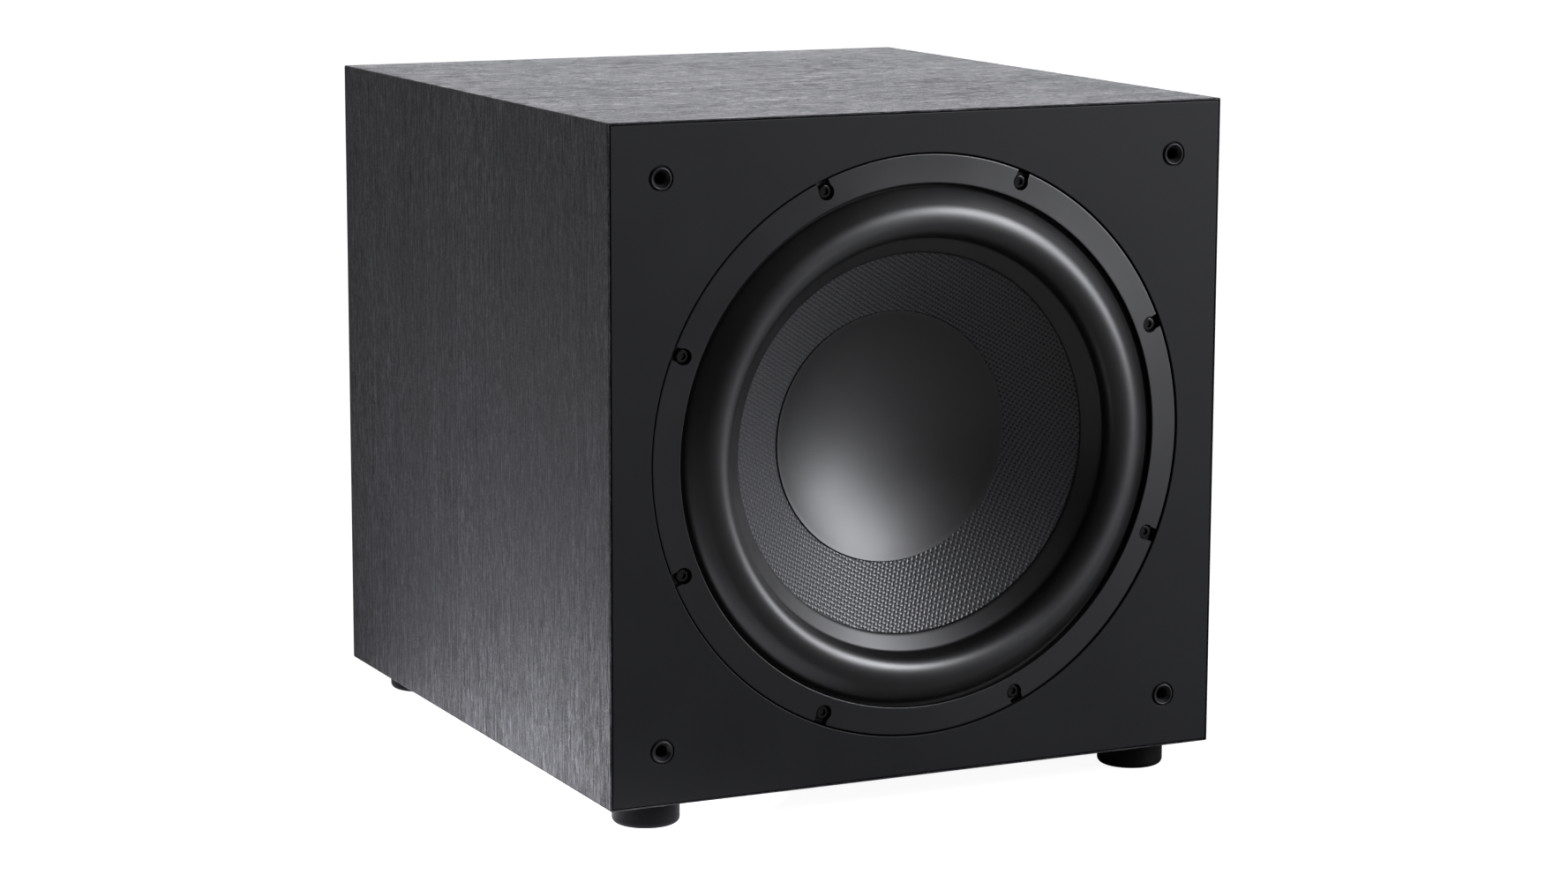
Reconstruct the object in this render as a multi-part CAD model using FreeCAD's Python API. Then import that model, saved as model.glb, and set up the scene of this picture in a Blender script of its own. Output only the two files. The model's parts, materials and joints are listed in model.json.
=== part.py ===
import FreeCAD, Part
import math
import os

# Sealed powered subwoofer with a 12-inch driver. Millimetres, +Z up, the front faces -Y.
# Every piece is drawn with y = 0 on the baffle's front face and z = 0 on the floor. The whole
# object then moves along Y, so that the origin is the centre of its footprint, on the floor.

V = FreeCAD.Vector

# cabinet
cabinet_width = 366.0
cabinet_height = 363.0
cabinet_depth = 400.0
panel = 18.0
baffle = 25.0
brace_y = 236.0
brace_rail = 44.0
pad_thickness = 24.0

# feet and their screws
foot_radius = 18.4
foot_height = 15.5
foot_side_inset = 33.0
foot_end_inset = 29.5
foot_edge = 3.0
foot_bore = 7.5
foot_web = 6.0
pilot_radius = 2.0

# grille sockets
socket_inset = 29.7
socket_hole = 3.2
socket_body = 4.6
socket_flange = 6.35
socket_depth = 13.0
socket_lip = 0.7
socket_seat = 0.8

# driver: radii from its axis and depths behind the baffle's front face
ring_outer = 158.2
ring_inner = 142.8
ring_proud = 0.6
ring_edge = 1.0
recess_radius = 159.0
cutout_radius = 141.0
flange_outer = 157.6
flange_front = 4.4
flange_back = 9.0
gasket_back = 10.5
lip_outer = 147.0
lip_thickness = 1.2
roll_outer = 141.0
roll_inner = 115.0
roll_height = 11.4
roll_wall = 1.5
lip_inner = 104.0
cone_slope = 0.727
cone_wall = 1.2
cap_radius = 69.3
cap_sag = 18.0
cap_wall = 1.0
former_outer = 32.5
former_wall = 0.5
coil_outer = 34.0
coil_length = 30.0
gap_outer = 34.6
pole_radius = 31.3
vent_radius = 12.0
basket_base = 98.0
landing_front = 76.0
landing_back = 80.0
landing_inner = 77.0
spider_first = 37.0
spider_waves = 9
spider_wave = 2.2
spider_wall = 1.0
top_plate_thickness = 8.0
magnet_thickness = 20.0
magnet_radius = 78.0
yoke_thickness = 10.0
plate_radius = 75.0
boot_wall = 2.6
boot_lip = 60.0

# driver screws
screw_count = 8
screw_first_angle = 22.5
screw_circle = 152.2
notch_radius = 4.5
notch_mouth = 7.5
screw_head = 3.8
screw_head_height = 2.6
screw_shank = 2.4

# terminals and leads
terminal_radius = 94.0
terminal_x = 8.0
tinsel_diameter = 1.6
lead_diameter = 3.2
grommet_z = 107.4

# amplifier, drawn about the cabinet's rear face
amp_half_width = 105.0
amp_half_height = 130.0
amp_plate_thickness = 3.0
amp_plate_proud = 0.3
amp_gasket_thickness = 1.5
amp_cut_half_width = 93.0
amp_cut_half_height = 118.0
amp_corner = 5.0
box_half_width = 90.0
box_half_height = 115.0
box_front = 318.0
box_wall = 1.2
board_y = 345.0
board_thickness = 1.6
control_x = 50.0
volume_z = 82.0
crossover_z = 34.0
phase_z = -4.0
mode_z = -28.0
jack_x = -50.0
jack_heights = [84.0, 60.0]
led_z = 112.0
inlet_x = -28.0
rocker_x = 38.0
mains_z = -97.0
knob_radius = 13.0
knob_height = 14.0
knob_gap = 1.0
shaft_radius = 3.0
shaft_bore = 3.06
slider_width = 4.6
slot_width = 5.2
phase_travel = 4.0
mode_travel = 6.0
rocker_tilt = 11.0
rocker_half_width = 6.3
rocker_reach = 9.9
rocker_pivot_y = 400.0
stub_radius = 1.2

# worked out
axis_z = foot_height + cabinet_height / 2
half_width = cabinet_width / 2
half_height = cabinet_height / 2
roll_centre = (roll_outer + roll_inner) / 2
lip_front = flange_front - lip_thickness
crown_proud = roll_height - lip_front
magnets_back = basket_base + top_plate_thickness + 2 * magnet_thickness
yoke_back = magnets_back + yoke_thickness
gap_middle = basket_base + top_plate_thickness / 2
plate_front = cabinet_depth + amp_plate_proud
plate_inner = plate_front - amp_plate_thickness
pocket_floor = plate_inner - amp_gasket_thickness
knob_back = plate_front + knob_gap
rear_reach = knob_back + knob_height
shift_y = (crown_proud - rear_reach) / 2

Y = V(0, 1, 0)
X = V(1, 0, 0)
Z = V(0, 0, 1)


def save(node, *solids):
    """Write one sub-part, of one or more separate solids, in the object's own frame."""
    shape = solids[0] if len(solids) == 1 else Part.makeCompound(list(solids))
    shape = shape.copy()
    shape.translate(V(0, shift_y, 0))
    shape.exportStep("parts/" + node + ".step")


def block(x0, x1, y0, y1, z0, z1):
    return Part.makeBox(x1 - x0, y1 - y0, z1 - z0, V(x0, y0, z0))


def rod(radius, y0, y1, x=0.0, z=0.0):
    """A cylinder along Y."""
    return Part.makeCylinder(radius, y1 - y0, V(x, y0, z), Y)


def tube(inner, outer, y0, y1, x=0.0, z=0.0):
    return rod(outer, y0, y1, x, z).cut(rod(inner, y0 - 1, y1 + 1, x, z))


def polygon_face(points):
    wire = Part.makePolygon(points + [points[0]])
    return Part.Face(wire)


def turned(profile, angle=360.0):
    """Turn a closed outline of (radius, depth) points about the driver's axis."""
    face = polygon_face([V(r, y, 0) for r, y in profile])
    return face.revolve(V(0, 0, 0), Y, angle)


def on_axis(shape):
    """Move a piece drawn about the Y axis up to the driver's axis."""
    shape.translate(V(0, 0, axis_z))
    return shape


def around(shape, angle):
    """A copy of a piece turned about the Y axis."""
    copy = shape.copy()
    copy.rotate(V(0, 0, 0), Y, angle)
    return copy


def screw_angles():
    return [screw_first_angle + i * 360.0 / screw_count for i in range(screw_count)]


def eight_sided(outer, inner):
    """A solid between two four-cornered faces given in the same order."""
    faces = [polygon_face(outer), polygon_face(inner)]
    for i in range(4):
        j = (i + 1) % 4
        faces.append(polygon_face([outer[i], outer[j], inner[j], inner[i]]))
    return Part.Solid(Part.Shell(faces))


# ---- cabinet ----


def carcass_panel(half_span, reach, turn):
    """A panel mitred along both long edges and along its front edge."""
    low = half_span - panel
    outer = [
        V(-half_span, 0, -reach),
        V(half_span, 0, -reach),
        V(half_span, cabinet_depth, -reach),
        V(-half_span, cabinet_depth, -reach),
    ]
    inner = [
        V(-low, panel, panel - reach),
        V(low, panel, panel - reach),
        V(low, cabinet_depth, panel - reach),
        V(-low, cabinet_depth, panel - reach),
    ]
    return on_axis(around(eight_sided(outer, inner), turn))


def bottom_panel():
    """The lower carcass panel, with pilot holes for the feet's screws."""
    body = carcass_panel(half_width, half_height, 0)
    pilots = [
        Part.makeCylinder(pilot_radius, panel - 3, V(x, y, foot_height - 0.5))
        for x, y in foot_places().values()
    ]
    return body.cut(pilots)


def front_baffle():
    """Mitred into the carcass, recessed for the driver and bored for the grille sockets."""
    iw = half_width - panel
    ih = half_height - panel
    corners = [(-1, -1), (1, -1), (1, 1), (-1, 1)]
    outer = [V(sx * half_width, 0, sz * half_height) for sx, sz in corners]
    inner = [V(sx * iw, panel, sz * ih) for sx, sz in corners]
    body = eight_sided(outer, inner)
    body = body.fuse(block(-iw, iw, panel, baffle, -ih, ih)).removeSplitter()
    cuts = [rod(recess_radius, -1, gasket_back), rod(cutout_radius, 0, baffle + 1)]
    pilot = rod(screw_shank + 0.1, gasket_back - 1, baffle + 1, x=screw_circle)
    cuts += [around(pilot, angle) for angle in screw_angles()]
    for x, z in socket_places():
        cuts.append(rod(socket_body + 0.05, -1, socket_depth + 0.2, x, z))
        cuts.append(rod(socket_flange + 0.55, -1, socket_seat, x, z))
    return on_axis(body.cut(cuts))


def rear_panel():
    """Set between the four carcass panels, with a pocket and a window for the amplifier."""
    iw = half_width - panel
    ih = half_height - panel
    body = block(-iw, iw, cabinet_depth - panel, cabinet_depth, -ih, ih)
    pocket_w = amp_half_width + 0.6
    pocket_h = amp_half_height + 0.6
    pocket = rounded_plate(pocket_w, pocket_h, pocket_floor, cabinet_depth + 1)
    pilots = [
        rod(pilot_radius, pocket_floor - 14, pocket_floor + 1, x, z) for x, z in amp_screw_places()
    ]
    return on_axis(body.cut([pocket, amp_window()] + pilots))


def amp_window():
    """The opening behind the amplifier's plate."""
    w = amp_cut_half_width
    h = amp_cut_half_height
    return block(-w, w, 0, cabinet_depth, -h, h)


def window_brace():
    iw = half_width - panel
    ih = half_height - panel
    frame = block(-iw, iw, brace_y, brace_y + panel, -ih, ih)
    ww = iw - brace_rail
    wh = ih - brace_rail
    window = block(-ww, ww, brace_y - 1, brace_y + panel + 1, -wh, wh)
    corners = [e for e in window.Edges if abs(e.tangentAt(e.FirstParameter).y) > 0.9]
    return on_axis(frame.cut(window.makeFillet(25.0, corners)))


def wadding(side):
    """A soft pad against one side wall, between the baffle and the brace."""
    outer = half_width - panel
    pad = block(outer - pad_thickness, outer, 45, brace_y - 6, -120, 120)
    upright = [e for e in pad.Edges if e.BoundBox.XLength < 0.1 and e.BoundBox.XMin < outer - 1]
    pad = pad.makeFillet(8.0, upright)
    return on_axis(around(pad, 0 if side > 0 else 180))


# ---- feet and grille sockets ----


def foot_places():
    x = half_width - foot_side_inset
    return {
        "front_left": (-x, foot_end_inset),
        "front_right": (x, foot_end_inset),
        "rear_left": (-x, cabinet_depth - foot_end_inset),
        "rear_right": (x, cabinet_depth - foot_end_inset),
    }


def foot(x, y):
    """A round foot, recessed below for its screw."""
    body = Part.makeCylinder(foot_radius, foot_height, V(x, y, 0))
    low = [e for e in body.Edges if e.BoundBox.ZMax < 0.1]
    body = body.makeFillet(foot_edge, low)
    recess = Part.makeCylinder(foot_bore, foot_height - foot_web, V(x, y, 0))
    hole = Part.makeCylinder(2.2, foot_height, V(x, y, 0))
    return body.cut([recess, hole])


def foot_screw(x, y):
    seat = foot_height - foot_web
    head = Part.makeCylinder(4.0, 2.8, V(x, y, seat - 2.8))
    head = head.makeFillet(1.2, [e for e in head.Edges if e.BoundBox.ZMax < seat - 2.7])
    shank = Part.makeCylinder(1.9, foot_web + panel - 4, V(x, y, seat))
    return head.fuse(shank).removeSplitter()


def socket_places():
    x = half_width - socket_inset
    z = half_height - socket_inset
    return [(-x, z), (x, z), (-x, -z), (x, -z)]


def grille_socket(x, z):
    """A push-in cup with a rounded lip that takes one of the grille's pegs."""
    cup = rod(socket_body, socket_seat - 0.1, socket_depth, x, z)
    lip = rod(socket_flange, -socket_lip, socket_seat, x, z)
    lip = lip.makeFillet(0.6, [e for e in lip.Edges if e.BoundBox.YMax < 0])
    cup = cup.fuse(lip).removeSplitter()
    cup = cup.cut(rod(socket_hole, -2, socket_depth - 1.5, x, z))
    mouth = Part.makeCone(socket_hole + 0.7, socket_hole, 0.7, V(x, -socket_lip, z), Y)
    return on_axis(cup.cut(mouth))


# ---- driver ----


def cone_front(r):
    """Depth of the cone's front surface at a radius."""
    return flange_front + (roll_inner - r) * cone_slope


def trim_ring():
    """A flat ring with a notch open to the outside at each driver screw."""
    front = -ring_proud
    step = lip_outer + 0.4
    ring = turned(
        [
            (ring_inner, lip_front),
            (ring_inner, front + 0.7),
            (ring_inner + 0.7, front),
            (ring_outer - ring_edge, front),
            (ring_outer, front + ring_edge),
            (ring_outer, flange_front),
            (step, flange_front),
            (step, lip_front),
        ]
    )
    notch = rod(notch_radius, -2, flange_front + 1, x=screw_circle)
    mouth = block(
        screw_circle, ring_outer + 2, -2, flange_front + 1, -notch_mouth / 2, notch_mouth / 2
    )
    notch = notch.fuse(mouth)
    return on_axis(ring.cut([around(notch, angle) for angle in screw_angles()]))


def surround():
    """A half roll with a flat outer lip, and an inner lip that lies on the cone."""
    crown = lip_front - roll_height
    back_crown = crown + roll_wall
    points = [
        V(lip_outer, lip_front, 0),
        V(roll_outer, lip_front, 0),
        V(roll_inner, lip_front, 0),
        V(lip_inner, cone_front(lip_inner) - lip_thickness, 0),
        V(lip_inner, cone_front(lip_inner), 0),
        V(roll_inner, flange_front, 0),
        V(roll_inner + roll_wall, flange_front, 0),
        V(roll_outer - roll_wall, flange_front, 0),
        V(lip_outer, flange_front, 0),
    ]
    front_arc = Part.Arc(points[1], V(roll_centre, crown, 0), points[2])
    back_arc = Part.Arc(points[6], V(roll_centre, back_crown, 0), points[7])
    edges = [
        Part.makeLine(points[0], points[1]),
        front_arc.toShape(),
        Part.makeLine(points[2], points[3]),
        Part.makeLine(points[3], points[4]),
        Part.makeLine(points[4], points[5]),
        Part.makeLine(points[5], points[6]),
        back_arc.toShape(),
        Part.makeLine(points[7], points[8]),
        Part.makeLine(points[8], points[0]),
    ]
    return on_axis(Part.Face(Part.Wire(edges)).revolve(V(0, 0, 0), Y, 360))


def cone():
    neck = former_outer + 0.05
    profile = [
        (roll_inner, cone_front(roll_inner)),
        (neck, cone_front(neck)),
        (neck, cone_front(neck) + cone_wall),
        (roll_inner, cone_front(roll_inner) + cone_wall),
    ]
    return on_axis(turned(profile))


def dust_cap():
    """An inward dish, of two spheres about one centre, whose rim is glued to the cone."""
    rim = cone_front(cap_radius) - 1.2
    dish = (cap_radius**2 + cap_sag**2) / (2 * cap_sag)
    centre = rim + cap_sag - dish

    def on_sphere(radius, r):
        return V(r, centre + math.sqrt(radius**2 - r**2), 0)

    inner = dish + cap_wall
    front = [on_sphere(dish, r) for r in (0, cap_radius / 2, cap_radius)]
    back = [on_sphere(inner, r) for r in (cap_radius - 1, cap_radius / 2, 0)]
    edges = [
        Part.Arc(*front).toShape(),
        Part.makeLine(front[2], back[0]),
        Part.Arc(*back).toShape(),
        Part.makeLine(back[2], front[0]),
    ]
    return on_axis(Part.Face(Part.Wire(edges)).revolve(V(0, 0, 0), Y, 360))


def coil_former():
    start = cone_front(former_outer) - 5
    end = gap_middle + coil_length / 2 + 1
    return on_axis(tube(former_outer - former_wall, former_outer, start, end))


def voice_coil():
    start = gap_middle - coil_length / 2
    return on_axis(tube(former_outer + 0.02, coil_outer, start, start + coil_length))


def spider():
    """A corrugated disc from the former to the basket's landing."""
    inner = former_outer + 0.05
    flat = landing_front - spider_wall
    pitch = (landing_inner - spider_first) / spider_waves
    front = [(inner, flat), (spider_first, flat)]
    for i in range(spider_waves):
        side = spider_wave if i % 2 else -spider_wave
        front.append((spider_first + (i + 0.5) * pitch, flat + side))
    front += [(landing_inner, flat), (landing_inner + 8, flat)]
    back = [(r, y + spider_wall) for r, y in reversed(front)]
    return on_axis(turned(front + back))


def basket():
    """Cast frame: flange, rim wall, spokes, spider landing and motor seat."""
    inner = landing_inner
    shell = turned(
        [
            (136.5, flange_front),
            (flange_outer, flange_front),
            (flange_outer, flange_back),
            (139.5, flange_back),
            (139.5, 26.0),
            (88.0, landing_back),
            (inner + 3.5, landing_back),
            (inner + 0.5, basket_base),
            (50.0, basket_base),
            (50.0, basket_base - 3),
            (inner - 2.2, basket_base - 3),
            (inner, landing_back),
            (inner, landing_front),
            (86.0, landing_front),
            (136.5, 24.5),
        ]
    )
    window_angle = 28.0
    vent_angle = 24.0
    window = turned([(90, 15), (133, 15), (133, 85), (90, 85)], window_angle)
    vent = turned([(70, 83.5), (90, 83.5), (90, 92), (70, 92)], vent_angle)
    hole = rod(screw_shank + 0.4, 0, flange_back + 1, x=screw_circle)
    cuts = []
    for i in range(screw_count):
        middle = i * 360.0 / screw_count
        cuts.append(around(window, middle - window_angle / 2))
        cuts.append(around(vent, middle - vent_angle / 2))
    cuts += [around(hole, angle) for angle in screw_angles()]
    return on_axis(shell.cut(cuts))


def flange_gasket():
    ring = tube(143.0, 157.0, flange_back, gasket_back)
    hole = rod(screw_shank + 0.6, 0, gasket_back + 1, x=screw_circle)
    return on_axis(ring.cut([around(hole, angle) for angle in screw_angles()]))


def driver_screw(angle):
    top = flange_front - screw_head_height
    head = rod(screw_head, top, flange_front, x=screw_circle)
    head = head.makeFillet(1.0, [e for e in head.Edges if e.BoundBox.YMax < top + 0.1])
    key = Part.makeCylinder(1.9, 1.5, V(screw_circle, top - 0.1, 0), Y)
    shank = rod(screw_shank, flange_front, baffle - 1.5, x=screw_circle)
    return on_axis(around(head.cut(key).fuse(shank), angle))


def top_plate():
    return on_axis(tube(gap_outer, plate_radius, basket_base, basket_base + top_plate_thickness))


def ring_magnet(index):
    start = basket_base + top_plate_thickness + index * magnet_thickness
    return on_axis(tube(45.0, magnet_radius, start, start + magnet_thickness))


def pole_yoke():
    plate = rod(plate_radius, magnets_back, yoke_back)
    pole = rod(pole_radius, basket_base - 2, magnets_back)
    edge = [e for e in plate.Edges if e.BoundBox.YMin > yoke_back - 0.1]
    plate = plate.makeChamfer(2.0, edge)
    return on_axis(plate.fuse(pole).removeSplitter().cut(rod(vent_radius, 0, yoke_back + 1)))


def magnet_boot():
    inner = magnet_radius + 0.4
    outer = inner + boot_wall
    back = yoke_back + 2
    lip = boot_lip
    profile = [
        (inner, basket_base + 6),
        (outer, basket_base + 6),
        (outer, back),
        (lip, back),
        (lip, yoke_back),
        (inner, yoke_back),
    ]
    return on_axis(turned(profile))


# ---- terminals and leads ----


def terminal_strip():
    """A board that carries both lugs, on the back of the basket's landing."""
    y0 = landing_back
    strip = block(-16, 16, y0, y0 + 2, 84, 102)
    low = terminal_radius - 0.6
    high = terminal_radius + 0.6
    slots = [
        block(x - 2.6, x + 2.6, y0 - 1, y0 + 3, low, high) for x in (-terminal_x, terminal_x)
    ]
    return on_axis(strip.cut(slots))


def terminal_lug(x):
    low = terminal_radius - 0.4
    blade = block(x - 2.4, x + 2.4, landing_back - 5, landing_back + 10, low, low + 0.8)
    stop = block(x - 3.2, x + 3.2, landing_back + 2, landing_back + 3, low - 0.8, low + 1.6)
    return on_axis(blade.fuse(stop).removeSplitter())


def corner(before, at, after):
    """The largest arc that its two runs allow at one point of a lead's route."""
    back = (before - at).normalize()
    ahead = (after - at).normalize()
    half_turn = (math.pi - back.getAngle(ahead)) / 2
    reach = 0.45 * min((before - at).Length, (after - at).Length)
    start = at + back * reach
    end = at + ahead * reach
    radius = reach / math.tan(half_turn)
    middle_direction = (back + ahead).normalize()
    to_centre = radius / math.cos(half_turn)
    middle = at + middle_direction * (to_centre - radius)
    return start, middle, end, radius


def lead(name, diameter, points):
    """A round lead along straight runs joined by tangent arcs."""
    edges = []
    here = points[0]
    radii = []
    for i in range(1, len(points) - 1):
        start, middle, end, radius = corner(points[i - 1], points[i], points[i + 1])
        edges.append(Part.LineSegment(here, start).toShape())
        edges.append(Part.Arc(start, middle, end).toShape())
        radii.append(round(radius, 1))
        here = end
    edges.append(Part.LineSegment(here, points[-1]).toShape())
    path = Part.Wire(edges)
    direction = points[1] - points[0]
    section = Part.Wire([Part.makeCircle(diameter / 2, points[0], direction)])
    solid = path.makePipeShell([section], True, False)
    ratio = solid.Volume / (math.pi * diameter**2 / 4 * path.Length)
    print(name, "length", round(path.Length, 1), "radii", radii, "volume ratio", round(ratio, 4))
    return solid


def tinsel_lead(x):
    """The flexible lead from the former to a terminal, arched between the cone and the spider."""
    route = [(33, 70), (42, 66), (56, 64), (72, 64), (85, 66), (92.5, 69.3), (94, 74.6)]
    points = [V(x, y, axis_z + z) for z, y in route]
    return lead("tinsel", tinsel_diameter, points)


def speaker_lead(x):
    """The supply lead from the amplifier's board, through the brace, to a terminal."""
    route = [(344.7, 109.5), (300, 106), (252, 101), (204, 97.5), (158, 95.3), (120, 94.3), (90, 94)]
    points = [V(x, y, axis_z + z) for y, z in route]
    return lead("speaker lead", lead_diameter, points)


def lead_grommet(x):
    """A rubber bush where a supply lead leaves the amplifier's box."""
    z = grommet_z
    body = rod(4.4, box_front - 1.2, box_front, x, z)
    body = body.fuse(rod(3.4, box_front, box_front + box_wall, x, z))
    body = body.fuse(rod(4.4, box_front + box_wall, box_front + box_wall + 1.2, x, z))
    return on_axis(body.removeSplitter().cut(rod(lead_diameter / 2 + 0.35, 0, 400, x, z)))


# ---- amplifier ----


def rounded_plate(half_w, half_h, y0, y1):
    plate = block(-half_w, half_w, y0, y1, -half_h, half_h)
    corners = [e for e in plate.Edges if e.BoundBox.YLength > 0.5 * (y1 - y0)]
    return plate.makeFillet(amp_corner, corners)


def amp_screw_places():
    x = (amp_half_width + amp_cut_half_width) / 2
    z = (amp_half_height + amp_cut_half_height) / 2
    places = [(sx * x, h) for sx in (-1, 1) for h in (-z, -z / 3, z / 3, z)]
    return places + [(0, -z), (0, z)]


def amp_plate():
    """The rear plate, cut for every control and connector."""
    plate = rounded_plate(amp_half_width, amp_half_height, plate_inner, plate_front)
    rim = [e for e in plate.Edges if e.BoundBox.YMin > plate_front - 0.1]
    plate = plate.makeChamfer(0.5, rim)
    y0 = plate_inner - 1
    y1 = plate_front + 1
    cuts = [rod(2.3, y0, y1, x, z) for x, z in amp_screw_places()]
    cuts += [rod(4.2, y0, y1, control_x, z) for z in (volume_z, crossover_z)]
    cuts += [slot_hole(phase_z, phase_travel, y0, y1), slot_hole(mode_z, mode_travel, y0, y1)]
    cuts += [rod(3.7, y0, y1, jack_x, z) for z in jack_heights]
    cuts.append(rod(1.65, y0, y1, control_x, led_z))
    cuts.append(inlet_block(14.6, 11.1, y0, y1))
    cuts += [rod(1.8, y0, y1, inlet_x + s * 20, mains_z) for s in (-1, 1)]
    cuts.append(rocker_block(8.4, 12.4, y0, y1))
    return on_axis(plate.cut(cuts))


def slot_hole(z, travel, y0, y1):
    half = (slider_width + travel) / 2 + 0.4
    return block(control_x - slot_width / 2, control_x + slot_width / 2, y0, y1, z - half, z + half)


def inlet_block(half_w, half_h, y0, y1):
    return block(inlet_x - half_w, inlet_x + half_w, y0, y1, mains_z - half_h, mains_z + half_h)


def rocker_block(half_w, half_h, y0, y1):
    return block(rocker_x - half_w, rocker_x + half_w, y0, y1, mains_z - half_h, mains_z + half_h)


def amp_gasket():
    frame = rounded_plate(amp_half_width - 0.5, amp_half_height - 0.5, pocket_floor, plate_inner)
    holes = [rod(2.6, 0, cabinet_depth, x, z) for x, z in amp_screw_places()]
    return on_axis(frame.cut([amp_window()] + holes))


def amp_screw(x, z):
    head = rod(3.4, plate_front, plate_front + 2.2, x, z)
    head = head.makeFillet(1.1, [e for e in head.Edges if e.BoundBox.YMin > plate_front + 2])
    blades = [
        block(x - 2.0, x + 2.0, plate_front + 1.1, plate_front + 3, z - 0.4, z + 0.4),
        block(x - 0.4, x + 0.4, plate_front + 1.1, plate_front + 3, z - 2.0, z + 2.0),
    ]
    shank = rod(1.9, pocket_floor - 13, plate_front, x, z)
    return on_axis(head.cut(blades).fuse(shank))


def amp_back_box():
    """A folded steel cover around the electronics, open towards the plate."""
    w = box_half_width
    h = box_half_height
    shell = block(-w, w, box_front, plate_inner, -h, h)
    iw = w - box_wall
    ih = h - box_wall
    hollow = block(-iw, iw, box_front + box_wall, plate_inner + 1, -ih, ih)
    holes = [rod(3.5, 0, cabinet_depth, x, grommet_z) for x in (-terminal_x, terminal_x)]
    return on_axis(shell.cut([hollow] + holes))


def circuit_board():
    back = board_y + board_thickness
    return on_axis(block(-80, 80, board_y, back, -108, 112))


def transformer():
    """A toroidal transformer against the inside of the plate."""
    ring = tube(14.0, 38.0, 362, plate_inner, -38, -30)
    edges = [e for e in ring.Edges if e.BoundBox.YLength < 0.1]
    return on_axis(ring.makeFillet(6.0, [e for e in edges if e.BoundBox.XLength > 60]))


def capacitor(x):
    start = board_y + board_thickness
    can = rod(12.5, start, start + 34, x, 62)
    return on_axis(can.makeFillet(1.5, [e for e in can.Edges if e.BoundBox.YMin > start + 30]))


def heatsink():
    """A finned bar against the inside of the plate."""
    base = block(12, 84, plate_inner - 5, plate_inner, -78, -44)
    fins = []
    for i in range(10):
        x = 12 + i * 7.7
        fins.append(block(x, x + 2.2, plate_inner - 28, plate_inner - 5, -78, -44))
    return on_axis(base.fuse(fins).removeSplitter())


def knob(z):
    """A tapered control knob with grip flutes and a pointer groove."""
    back = knob_back
    front = knob_back + knob_height
    body = Part.makeCone(knob_radius, knob_radius - 1.0, knob_height, V(0, back, 0), Y)
    body = body.makeFillet(1.2, [e for e in body.Edges if e.BoundBox.YMin > front - 0.1])
    flute = Part.makeCylinder(1.1, knob_height, V(knob_radius + 0.35, back + 2.5, 0), Y)
    cuts = [around(flute, i * 15) for i in range(24)]
    cuts.append(block(-0.6, 0.6, front - 0.7, front + 1, 3.5, knob_radius))
    cuts.append(rod(shaft_radius + 0.02, back - 1, back + 10))
    body = body.cut(cuts)
    body.translate(V(control_x, 0, z))
    return on_axis(body)


def knob_shaft(z):
    shaft = rod(shaft_radius, plate_inner - 12.5, knob_back + 9.8, control_x, z)
    return on_axis(shaft)


def pot_body(z):
    y1 = plate_inner - 4
    body = block(control_x - 8.5, control_x + 8.5, y1 - 10, y1, z - 8.5, z + 8.5)
    body = body.fuse(rod(4.8, y1, y1 + 3.5, control_x, z)).removeSplitter()
    return on_axis(body.cut(rod(shaft_bore, plate_inner - 13, plate_inner, control_x, z)))


def slider(z):
    """The square button of a slide switch, with a grip groove."""
    half = slider_width / 2
    body = block(
        control_x - half, control_x + half, plate_inner - 6.5, plate_front + 2.6, z - half, z + half
    )
    rib = block(control_x - 3, control_x + 3, plate_front + 2.0, plate_front + 3, z - 0.4, z + 0.4)
    return on_axis(body.cut(rib))


def slider_body(z, travel):
    half = (slider_width + travel) / 2 + 4
    y0 = plate_inner - 10
    case = block(control_x - 4.5, control_x + 4.5, y0, plate_inner, z - half, z + half)
    return on_axis(case.cut(slot_hole(z, travel, plate_inner - 7, plate_inner + 1)))


def rocker_bezel():
    """Bezel and moulded body of the mains switch, with bearings for the rocker."""
    face = rocker_block(10.0, 14.0, plate_front, plate_front + 2.2)
    face = face.makeFillet(1.5, [e for e in face.Edges if e.BoundBox.YLength > 2])
    rim = [e for e in face.Edges if e.BoundBox.YMin > plate_front + 2.1]
    face = face.makeChamfer(0.6, rim)
    body = rocker_block(8.2, 12.2, plate_inner - 18, plate_front)
    well = rocker_block(rocker_half_width + 0.4, rocker_reach + 0.4, plate_inner - 7, plate_front + 3)
    bearing = Part.makeCylinder(
        stub_radius + 0.06, 15.2, V(rocker_x - 7.6, rocker_pivot_y, mains_z), X
    )
    return on_axis(face.fuse(body).removeSplitter().cut([well, bearing]))


def power_rocker():
    """A dished rocker on two stub axles, at rest tipped to its off side."""
    rise = 2.6
    half = 9.6
    tip = rise + half * math.tan(math.radians(rocker_tilt))
    outline = [(-half, tip), (0, rise), (half, tip), (half, -2), (4.5, -5), (-4.5, -5), (-half, -2)]
    points = [V(-rocker_half_width, y, z) for z, y in outline]
    body = polygon_face(points).extrude(V(2 * rocker_half_width, 0, 0))
    limit = Part.makeCylinder(rocker_reach, 2 * rocker_half_width, V(-rocker_half_width, 0, 0), X)
    body = body.common(limit)
    stubs = Part.makeCylinder(stub_radius, 14.6, V(-7.3, 0, 0), X)
    body = body.fuse(stubs).removeSplitter()
    body.rotate(V(0, 0, 0), X, -rocker_tilt)
    body.translate(V(rocker_x, rocker_pivot_y, mains_z))
    return on_axis(body)


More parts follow.
